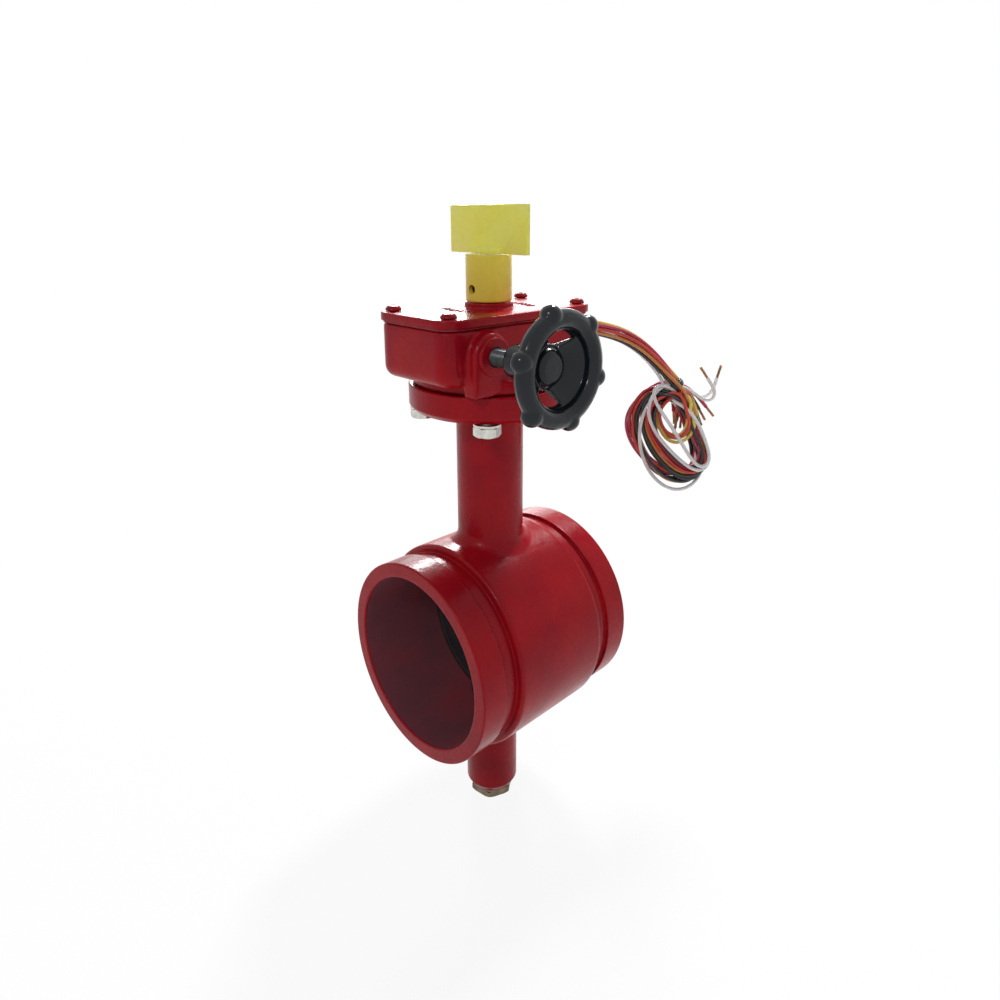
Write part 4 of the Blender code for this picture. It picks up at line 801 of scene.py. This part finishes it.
def make_leads():
    """Nine leads as round cords, each with its stripped end."""
    paths = settle(lead_paths(), LEAD_R * 2 + 0.0001, 8)
    for index, ((name, colour, _, _, _), path) in enumerate(zip(LEADS, paths)):
        smooth = eased(even(through(path, 3), LEAD_FINE_STEP), 3, 8, LEAD_FINE_STEP)
        curve = bpy.data.curves.new(f"lead_{name}", "CURVE")
        curve.dimensions = "3D"
        curve.bevel_depth = LEAD_R
        curve.bevel_resolution = 3
        curve.use_fill_caps = True
        spline = curve.splines.new("POLY")
        spline.points.add(len(smooth) - 1)
        for point, spot in zip(spline.points, smooth):
            point.co = (*spot, 1.0)
        spline.use_smooth = True
        lead = new_object(f"lead_{name}", curve)
        curve.materials.append(insulation(f"insulation_{name}", colour))
        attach(lead, "valve")
        last = Vector(smooth[-1])
        tip = stripped_end(name, last, (last - Vector(smooth[-4])).normalized())
        if index == 0:
            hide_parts("lead_bundle")
        if index == 2:
            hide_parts("lead_hank")


def make_tie():
    """A few turns of tape where the bundle meets the hank."""
    low, high = Vector(BUNDLE_ROUTE[-2]), Vector(BUNDLE_ROUTE[-1])
    ahead = (high - low).normalized()
    rings = [(0.0051, 0.0), (0.0056, 0.0001), (0.0057, 0.0012), (0.0060, 0.0014), (0.0061, 0.0030),
             (0.0058, 0.0032), (0.0057, 0.0044), (0.0051, 0.0045), (0.0050, 0.0040), (0.0050, 0.0005),
             (0.0051, 0.0)]
    band = drawn_out("bundle_tie", rings, 48, pointing(low.lerp(high, 0.55), ahead), joined=True)
    dress(band, "valve", "lead_insulation", TIE_TAPE, angle=50)


def stripped_end(name, spot, ahead):
    """Twisted bare strands past the end of a lead's insulation."""
    rings = [(STRAND_R, 0.0), (STRAND_R, STRIP_LENGTH * 0.98), (STRAND_TIP_R, STRIP_LENGTH)]
    strands = []
    for number in range(STRANDS):
        strand = drawn_out("strand", rings, 8)
        strands.append(strand)
        twist(strand, number * 2 * pi / STRANDS)
    pick(*strands)
    bpy.ops.object.join()
    tip = bpy.context.object
    tip.name = f"stripped_end_{name}"
    lay(tip, pointing(spot - ahead * 0.001, ahead))
    return dress(tip, "valve", "lead_insulation", COPPER, angle=60)


def twist(strand, turn):
    """Winds one strand round the axis of its bunch."""
    edit_all(strand)
    bpy.ops.mesh.subdivide(number_cuts=5)
    mode("OBJECT")
    for vert in strand.data.vertices:
        angle = turn + vert.co.z / STRIP_LENGTH * STRAND_TURN
        vert.co.x += STRAND_OUT * cos(angle)
        vert.co.y += STRAND_OUT * sin(angle)


# Valve body

def bolt_place(number):
    """Where one of the flange's four bolts stands."""
    angle = radians(45 + 90 * number)
    return at(BOLT_CIRCLE_R * cos(angle), BOLT_CIRCLE_R * sin(angle), 0)


def sink_on_barrel(item, sign, limit):
    """Moves the root of a neck or boss down on the round barrel."""
    for vert in item.data.vertices:
        height = sign * vert.co.z
        share = min(1.0, max(0.0, (limit - height) / 0.006))
        dip = BARREL_R - sqrt(BARREL_R ** 2 - min(vert.co.y ** 2, BARREL_R ** 2 * 0.9))
        vert.co.z -= sign * share * dip


def flared_root(radius, fillet, steps):
    """Rings from inside the barrel, through a round fillet, to the side of a neck or boss."""
    rings = [(radius + fillet - 0.001, BARREL_R - 0.0030), (radius + fillet + 0.0006, BARREL_R - 0.0005)]
    for step in range(steps + 1):
        a = radians(step * 90 / steps)
        height = BARREL_R - 0.00005 + fillet * (1 - cos(a))
        rings.append((radius + fillet * (1 - sin(a)), height))
    return rings


def make_body():
    """One casting: grooved run, neck with its round flange, and bottom boss."""
    half = [(PIPE_R, RUN_HALF, 0.0009), (PIPE_R, SEAT_X, 0.0007), (GROOVE_R, SEAT_X, 0.0006),
            (GROOVE_R, GROOVE_X, 0.0006), (BARREL_R, GROOVE_X, 0.0022)]
    outer = half + [(radius, -x, soft) for radius, x, soft in reversed(half)]
    profile = softened(outer + [(BORE_R, -RUN_HALF, 0.0011), (BORE_R, RUN_HALF, 0.0011)], 4, closed=True)
    body = drawn_out("valve_body_casting", profile, 144, TO_X, joined=True)

    neck_profile = flared_root(NECK_R, NECK_FILLET, 7) + softened([
        (NECK_R, 0.080), (NECK_R, FLANGE_Z, 0.0032), (FLANGE_R - FLANGE_CHAMFER, FLANGE_Z, 0.0008),
        (FLANGE_R, FLANGE_Z + FLANGE_CHAMFER, 0.0016), (FLANGE_R, FLANGE_TOP_Z, 0.0009),
        (STEM_HOLE_R, FLANGE_TOP_Z)], 5)
    neck = drawn_out("neck", [tuple(ring) for ring in neck_profile], 128)
    sink_on_barrel(neck, 1, BARREL_R + 0.012)
    boss_profile = flared_root(BOSS_R, BOSS_FILLET, 6) + softened([
        (BOSS_R, 0.075), (BOSS_R, -BOSS_Z - BOSS_TAPER_HEIGHT, 0.0016),
        (BOSS_R - BOSS_TAPER, -BOSS_Z, 0.0008), (STEM_HOLE_R, -BOSS_Z)], 4)
    boss = drawn_out("boss", [(ring[0], -ring[1]) for ring in boss_profile], 96)
    sink_on_barrel(boss, -1, BARREL_R + 0.010)
    carve(body, (neck, boss), "UNION")
    holes = [prism("stem_hole", 48, STEM_HOLE_R, 0.0, FLANGE_TOP_Z + 0.01),
             prism("boss_hole", 48, STEM_HOLE_R, BOSS_Z - 0.01, -0.001)]
    for number in range(4):
        holes.append(prism("bolt_hole", 24, BOLT_HOLE_R, FLANGE_Z - 0.01, FLANGE_TOP_Z + 0.01,
                           place=bolt_place(number)))
    carve(body, holes)
    dress(body, "valve", "red_paint", RED_ENAMEL, "valve_body", angle=40)
    # The bore wall takes the second finish, a darker red that is painted shade inside the bore
    body.data.materials.append(BORE_PAINTED_SHADE)
    for face in body.data.polygons:
        x, y, z = face.center
        if abs(x) < RUN_HALF - 0.0009 and hypot(y, z) < BORE_R + 0.0003:
            face.material_index = 1


def make_disc():
    """The rubber-faced disc with its stem hub and the raised bead round its rim."""
    rim_r = BORE_R - 0.0004
    half = [(0.0100, 0.0075), (0.0164, 0.0075, 0.002), (0.0275, 0.0046, 0.004),
            (rim_r * 0.90, 0.0043, 0.002), (rim_r * 0.93, 0.0047, 0.001)]
    edge = asin(0.0037 / rim_r)
    turns = [edge * (1 - k / 3) for k in range(7)]
    rim = [(rim_r * cos(turn), rim_r * sin(turn)) for turn in turns]
    other_half = [(point[0], -point[1], *point[2:]) for point in reversed(half)]
    disc = drawn_out("disc_casting", softened(half + rim + other_half, 4), 144, TO_X)
    hub = drawn_out("disc_hub", softened([
        (0.0060, -DISC_HUB_HALF), (DISC_HUB_R, -DISC_HUB_HALF, 0.0012), (DISC_HUB_R, DISC_HUB_HALF, 0.0012),
        (0.0060, DISC_HUB_HALF)], 4), 64)
    carve(disc, (hub,), "UNION")
    holes = [prism("bore_up", 48, STEM_R + GAP, 0.024, BORE_R),
             prism("bore_down", 48, STEM_R + GAP, -BORE_R, -0.024)]
    for sign in (-1, 1):
        across = at(0, 0, sign * DISC_PIN_Z, TO_X)
        holes.append(prism("pin_hole", 24, DISC_PIN_R, -0.02, 0.02, place=across))
    carve(disc, holes)
    dress(disc, "disc_train", "black_rubber", DISC_RUBBER, "rubber_faced_disc")


# Gear operator

def make_housing():
    """The gear box as one casting: round pad below, worm boss in front, hollow inside."""
    worm_line = at(WORM_X, 0, GEAR_Z, TO_FRONT)
    box = brick("gear_housing_casting", (-BOX_HALF_X, -BOX_HALF_Y, BOX_Z),
                (BOX_HALF_X, BOX_HALF_Y, BOX_TOP_Z))
    bevel_edges(box, upright, 0.0098, 8)
    bevel_edges(box, on_level(BOX_Z), 0.0062, 6)
    pad = drawn_out("pad", softened([
        (0.030, BOX_Z + 0.002), (PAD_R, BOX_Z + 0.002), (PAD_R, PAD_Z, 0.0009), (0.030, PAD_Z)], 3), 96)
    front = BOSS_FRONT
    arch = drawn_out("arch", [(FRONT_BOSS_R, BOX_HALF_Y - 0.003), (FRONT_BOSS_R, front - 0.0012),
                              (FRONT_BOSS_R - 0.0012, front)], 64, worm_line)
    skirt = brick("skirt", (WORM_X - FRONT_BOSS_R, -front + 0.0002, PAD_Z + 0.0008),
                  (WORM_X + FRONT_BOSS_R, -BOX_HALF_Y + 0.003, GEAR_Z))
    carve(box, (pad, arch, skirt), "UNION")
    cast(box, 0.0010, 5)
    nose = drawn_out("nose", softened([
        (0.003, front - 0.003), (0.0104, front - 0.003), (0.0096, NOSE_FRONT, 0.0009), (0.003, NOSE_FRONT)],
        4), 64, worm_line)
    carve(box, (nose,), "UNION")
    cavity = brick("cavity", (-BOX_HALF_X + BOX_WALL, -BOX_HALF_Y + BOX_WALL, FLOOR_Z),
                   (BOX_HALF_X - BOX_WALL, BOX_HALF_Y - BOX_WALL, BOX_TOP_Z + 0.01))
    bevel_edges(cavity, upright, 0.0058, 5)
    posts = [prism("post", 32, SCREW_POST_R, BOX_TOP_Z - 0.017, COVER_TOP_Z, place=at(x, y, 0))
             for x, y in cover_screw_places()]
    carve(cavity, posts)
    rear = prism("rear_ring", 48, 0.0128, -BOX_HALF_Y + 0.0015, -BOX_HALF_Y + BOX_WALL + 0.0035,
                 place=worm_line)
    carve(cavity, (rear,))
    holes = [
        cavity,
        prism("front_hole", 48, FRONT_HOLE_R, 0.0, NOSE_FRONT - NOSE_LIP, place=worm_line),
        prism("shaft_pass", 48, SHAFT_R + 2 * GAP, 0.0, NOSE_FRONT + 0.01, place=worm_line),
        prism("rear_hole", 48, REAR_HOLE_R, -BOX_HALF_Y - 0.01, 0.0, place=worm_line),
        prism("stem_pass", 48, STEM_R + 0.0006, PAD_Z - 0.01, FLOOR_Z + 0.001),
        prism("lead_hole", 48, LEAD_HOLE_R, BOX_HALF_X - BOX_WALL - 0.001, BOX_HALF_X + 0.01,
              place=at(0, 0, LEAD_Z, TO_X)),
    ]
    for sign in (-1, 1):
        holes.append(prism("stop_hole", 24, STOP_HOLE_R, BOX_HALF_X - BOX_WALL - 0.001, BOX_HALF_X + 0.01,
                           place=at(0, sign * STOP_Y, GEAR_Z, TO_X)))
    carve(box, holes)
    dress(box, "valve", "red_paint", RED_ENAMEL, "gear_housing", angle=38)


def cover_screw_places():
    return [(side_x * COVER_SCREW_X, side_y * COVER_SCREW_Y) for side_x in (-1, 1) for side_y in (-1, 1)]


def make_cover():
    """The flat cover with its collar, two arcs of plain ticks and four domed screws."""
    half_x = BOX_HALF_X + 0.0012
    half_y = BOX_HALF_Y + 0.0012
    cover = brick("housing_cover_casting", (-half_x, -half_y, COVER_Z), (half_x, half_y, COVER_TOP_Z))
    bevel_edges(cover, upright, 0.011, 10)
    bevel_edges(cover, on_level(COVER_TOP_Z), 0.0009, 4)
    bevel_edges(cover, on_level(COVER_Z), 0.0003, 2)
    collar = drawn_out("collar", softened([
        (0.006, COVER_TOP_Z - 0.001), (0.0152, COVER_TOP_Z - 0.001), (0.0149, COVER_TOP_Z + 0.0001, 0.0001),
        (COLLAR_R, COVER_TOP_Z + 0.0004, 0.0015), (COLLAR_R, COLLAR_TOP_Z, 0.0009),
        (0.006, COLLAR_TOP_Z)], 5), 96)
    ticks = [collar]
    for sign in (-1, 1):
        for number in range(7):
            angle = radians((number - 3) * 9.5)
            spread = TICK_CIRCLE_R + (0.0008 if number % 3 == 0 else 0.0)
            tick_top = COVER_TOP_Z + TICK_HALF_WIDTH
            inner = -0.0019 if number % 3 else -0.0029
            tick = brick("tick", (inner, -TICK_HALF_WIDTH, COVER_TOP_Z - 0.0004),
                         (0.0019, TICK_HALF_WIDTH, tick_top))
            bevel_edges(tick, on_level(tick_top), 0.0002, 2)
            lay(tick, Matrix.Rotation(angle if sign > 0 else pi + angle, 4, "Z") @ at(spread, 0, 0))
            ticks.append(tick)
    carve(cover, ticks, "UNION")
    holes = [prism("stem_hole", 48, STEM_R + 0.0006, COVER_Z - 0.01, COLLAR_TOP_Z + 0.01)]
    holes += [prism("screw_hole", 24, SCREW_HOLE_R, COVER_Z - 0.01, COVER_TOP_Z + 0.01, place=at(x, y, 0))
              for x, y in cover_screw_places()]
    carve(cover, holes)
    dress(cover, "valve", "red_paint", RED_ENAMEL, "housing_cover")

    for number, (x, y) in enumerate(cover_screw_places()):
        head_z = COVER_TOP_Z + 0.0003
        screw = drawn_out(f"domed_screw_{number + 1}", softened([
            (0.0018, BOX_TOP_Z - 0.014), (0.0025, BOX_TOP_Z - 0.0133), (0.0025, head_z),
            (0.0042, head_z, 0.0003), (0.0041, head_z + 0.0011, 0.0012), (0.0030, head_z + 0.0024, 0.0012),
            (0.0006, head_z + 0.0027)], 4), 40)
        socket = prism("socket", 6, 0.0014, head_z + 0.0016, head_z + 0.004, turn=0.4 + number)
        carve(screw, (socket,))
        lay(screw, at(x, y, 0))
        dress(screw, "valve", "dark_red_paint", SCREW_ENAMEL, f"cover_screw_{number + 1}", angle=50)


def make_handwheel():
    """Hub, dished web and lumpy rim with six knobs, cast in one."""
    rings = [(0.0045, HANDWHEEL_DEPTH + 0.0004), (0.0060, HANDWHEEL_DEPTH + 0.0004),
             (0.0084, HANDWHEEL_DEPTH - 0.0006), (0.0096, HANDWHEEL_DEPTH - 0.0032),
             (0.0186, RIM_S - 0.0012)]
    for number in range(12):
        a = radians(160 - number * 300 / 11)
        rings.append((RIM_R + RIM_SECTION_R * cos(a), RIM_S + RIM_SECTION_R * sin(a)))
    rings += [(0.0129, 0.0195), (0.0096, 0.0125), (0.0084, 0.0080), (0.0082, 0.0010), (0.0070, 0.0),
              (0.0045, 0.0)]
    wheel = drawn_out("handwheel_casting", rings, 96)
    knobs = []
    for number in range(6):
        angle = radians(KNOB_ANGLE + 60 * number)
        rest()
        spot = (KNOB_RING_R * cos(angle), KNOB_RING_R * sin(angle), RIM_S)
        bpy.ops.mesh.primitive_uv_sphere_add(segments=24, ring_count=14, radius=KNOB_R, location=spot)
        knob = bpy.context.object
        apply_place()
        knobs.append(knob)
    carve(wheel, knobs, "UNION")
    carve(wheel, [web_window(radians(WINDOW_ANGLE + 180 * number)) for number in range(2)])
    cast(wheel, 0.00045, 7)
    carve(wheel, (prism("bore", 48, SHAFT_R + GAP, -0.01, HANDWHEEL_DEPTH - 0.0014),))
    lay(wheel, at(WORM_X, -WHEEL_BACK, GEAR_Z, TO_FRONT))
    pin_hole = prism("pin_hole", 24, 0.0019, -0.02, 0.02, place=at(WORM_X, -WHEEL_BACK - 0.0048, GEAR_Z))
    carve(wheel, (pin_hole,))
    dress(wheel, "handwheel_train", "black_enamel", BLACK_ENAMEL, "handwheel", angle=50)


def web_window(angle):
    """A wedge through the web: a flat grid wrapped round the hub's axis and drawn out along it."""
    rest()
    bpy.ops.mesh.primitive_grid_add(x_subdivisions=2, y_subdivisions=14, size=1.0, location=(0, 0, 0))
    item = bpy.context.object
    for vert in item.data.vertices:
        across = vert.co.x + 0.5
        radius = WINDOW_INNER_R + (WINDOW_OUTER_R - WINDOW_INNER_R) * across
        turn = angle + vert.co.y * radians(WINDOW_ARC) * (0.75 + 0.25 * across)
        vert.co = (radius * cos(turn), radius * sin(turn), 0.006)
    edit_all(item)
    bpy.ops.mesh.extrude_region_move(TRANSFORM_OT_translate={"value": (0, 0, 0.034)})
    bpy.ops.mesh.select_all(action="SELECT")
    bpy.ops.mesh.normals_make_consistent(inside=False)
    mode("OBJECT")
    return item


# Indicator

def make_indicator():
    """The yellow sleeve with its cross hole, and the flag plate with a weld bead along each side."""
    sleeve = drawn_out("indicator_sleeve_painted", softened([
        (0.004, SLEEVE_TOP_Z), (SLEEVE_R, SLEEVE_TOP_Z, 0.0006), (SLEEVE_R, SLEEVE_Z, 0.0010),
        (0.004, SLEEVE_Z)], 4), 96)
    pin_z = SLEEVE_Z + SLEEVE_HEIGHT * 0.27
    carve(sleeve, (prism("bore", 48, STEM_R + GAP, SLEEVE_Z - 0.01, SLEEVE_TOP_Z - 0.0057),
                   prism("pin_hole", 32, 0.0025, -0.02, 0.02, place=at(0, 0, pin_z, TO_X))))
    dress(sleeve, "disc_train", "yellow_paint", SLEEVE_ENAMEL, "indicator_sleeve")

    low = SLEEVE_TOP_Z + GAP
    flag = brick("indicator_flag_plate", (-FLAG_THICK / 2, -FLAG_WIDTH / 2, low),
                 (FLAG_THICK / 2, FLAG_WIDTH / 2, low + FLAG_HEIGHT))
    bevel_edges(flag, lambda a, b: True, 0.0004, 2)
    dice = random.Random(11)
    beads = []
    for sign in (-1, 1):
        for number in range(9):
            rest()
            along = -0.0098 + number * 0.00245
            size = 0.0021 + dice.uniform(-0.0003, 0.0004) + 0.0009 * cos(along / 0.0098 * 1.4)
            bpy.ops.mesh.primitive_ico_sphere_add(subdivisions=3, radius=size,
                                                  location=(sign * 0.0016, along, low + 0.0012))
            bead = bpy.context.object
            bead.scale = (0.85, 1.0, 1.1)
            apply_place()
            beads.append(bead)
    weld = beads[0]
    carve(weld, beads[1:], "UNION")
    cast(weld, 0.0004, 3)
    under = brick("under", (-0.02, -0.03, low - 0.02), (0.02, 0.03, low))
    carve(weld, (under,))
    carve(flag, (weld,), "UNION")
    dress(flag, "disc_train", "yellow_paint", FLAG_ENAMEL, "indicator_flag", angle=45)


# Fasteners and the rest

def hex_piece(name, across, low, high, chamfer, turn, steps=48):
    """A hexagon bar with both of its ends' corners turned away."""
    corner = across / sqrt(3)
    item = prism(name, 6, corner, low, high, turn=turn)
    drum = drawn_out("drum", [(corner - chamfer, low - 0.0001), (corner + 0.0002, low + chamfer * 0.7),
                              (corner + 0.0002, high - 0.0004), (corner - 0.0006, high + 0.0001)], steps)
    carve(item, (drum,), "INTERSECT")
    return item


def flat_ring(name, inner, outer, low, steps, thick, place=None):
    """A washer with its outer edges eased."""
    top = low + thick
    rings = [(inner, low), (outer, low, 0.0003), (outer, top, 0.0003), (inner, top)]
    return drawn_out(name, softened(rings, 3, closed=True), steps, place, joined=True)


def make_fasteners():
    """Four plated bolts with washers under the flange, and the brass plug with its washer."""
    washer_low = FLANGE_Z - GAP - WASHER_THICK
    head_top = washer_low - GAP
    for number in range(4):
        bolt = hex_piece(f"flange_bolt_plated_{number + 1}", BOLT_HEAD_AF, head_top - BOLT_HEAD_H, head_top,
                         0.0012, radians(15 + 20 * number))
        shank = prism("shank", 32, 0.004, head_top - 0.001, FLANGE_TOP_Z + 0.009)
        carve(bolt, (shank,), "UNION")
        lay(bolt, bolt_place(number))
        dress(bolt, "valve", "zinc_steel", ZINC, f"flange_bolt_{number + 1}")
        washer = flat_ring(f"flange_washer_plated_{number + 1}", BOLT_HOLE_R, WASHER_R, washer_low, 48,
                           WASHER_THICK, bolt_place(number))
        dress(washer, "valve", "zinc_steel", ZINC, f"flange_washer_{number + 1}")

    washer_top = BOSS_Z - GAP
    head_top = washer_top - PLUG_WASHER_THICK - GAP
    plug = hex_piece("bottom_plug_turned", PLUG_AF, head_top - PLUG_HEAD_H, head_top, 0.0014,
                     radians(8), 72)
    shank = prism("shank", 48, 0.0096, head_top - 0.001, BOSS_Z + 0.009)
    carve(plug, (shank,), "UNION")
    dress(plug, "valve", "brass", BRASS, "bottom_plug")
    washer = flat_ring("plug_washer_turned", STEM_HOLE_R, BOSS_R - BOSS_TAPER - 0.0002,
                       washer_top - PLUG_WASHER_THICK, 72, PLUG_WASHER_THICK)
    dress(washer, "valve", "brass", BRASS, "bottom_plug_washer")


def smooth_copy(name, body, slot, material):
    """A merged, smoothly shaded copy of a CAD node, standing for it."""
    item = new_object(f"{name}_finished", NODES[name].data.copy())
    edit_all(item)
    bpy.ops.mesh.remove_doubles(threshold=0.000002)
    mode("OBJECT")
    dress(item, body, slot, material, name)


# Body, finish, slot and the CAD nodes that are right as they are
SMALL_PARTS = (
    ("valve", ZINC, "zinc_steel",
     "travel_stop_open travel_stop_closed stop_lock_nut_open stop_lock_nut_closed switch_bracket "
     "bracket_screw_1 bracket_screw_2 switch_screw_low switch_screw_high"),
    ("valve", BLACK_STEEL, "dark_steel", "worm_end_cap"),
    ("valve", BRONZE, "bronze",
     "lower_neck_bushing upper_neck_bushing bottom_bushing worm_bushing_front worm_bushing_rear"),
    ("valve", SEAL_RUBBER, "black_rubber",
     "neck_seal_lower neck_seal_upper bottom_stem_seal indicator_stem_seal worm_shaft_seal"),
    ("valve", PAINTED_GASKET, "black_rubber", "cover_gasket"),
    ("valve", BLACK_PLASTIC, "black_plastic", "supervisory_switch_1 supervisory_switch_2 lead_bushing"),
    ("disc_train", ZINC, "zinc_steel", "disc_pin_upper disc_pin_lower upper_stem lower_stem"),
    ("disc_train", GEAR_STEEL, "dark_steel", "worm_wheel_sector wheel_key cam_set_screw"),
    ("disc_train", BLACK_STEEL, "dark_steel", "indicator_pin"),
    ("disc_train", BRASS, "brass", "switch_cam"),
    ("handwheel_train", BLACK_STEEL, "dark_steel", "worm_shaft"),
    ("handwheel_train", ZINC, "zinc_steel", "handwheel_pin"),
    ("plunger_1", ZINC, "zinc_steel", "switch_plunger_1"),
    ("plunger_2", ZINC, "zinc_steel", "switch_plunger_2"),
)


def finish_small_parts():
    """The CAD shapes that are right as they are, with their finishes."""
    for body, material, slot, names in SMALL_PARTS:
        for name in names.split():
            smooth_copy(name, body, slot, material)


def main():
    bpy.context.scene.view_settings.view_transform = "Standard"
    make_camera()
    make_studio()
    make_leads()
    make_tie()
    make_body()
    make_disc()
    make_housing()
    make_cover()
    make_handwheel()
    make_indicator()
    make_fasteners()
    finish_small_parts()


main()
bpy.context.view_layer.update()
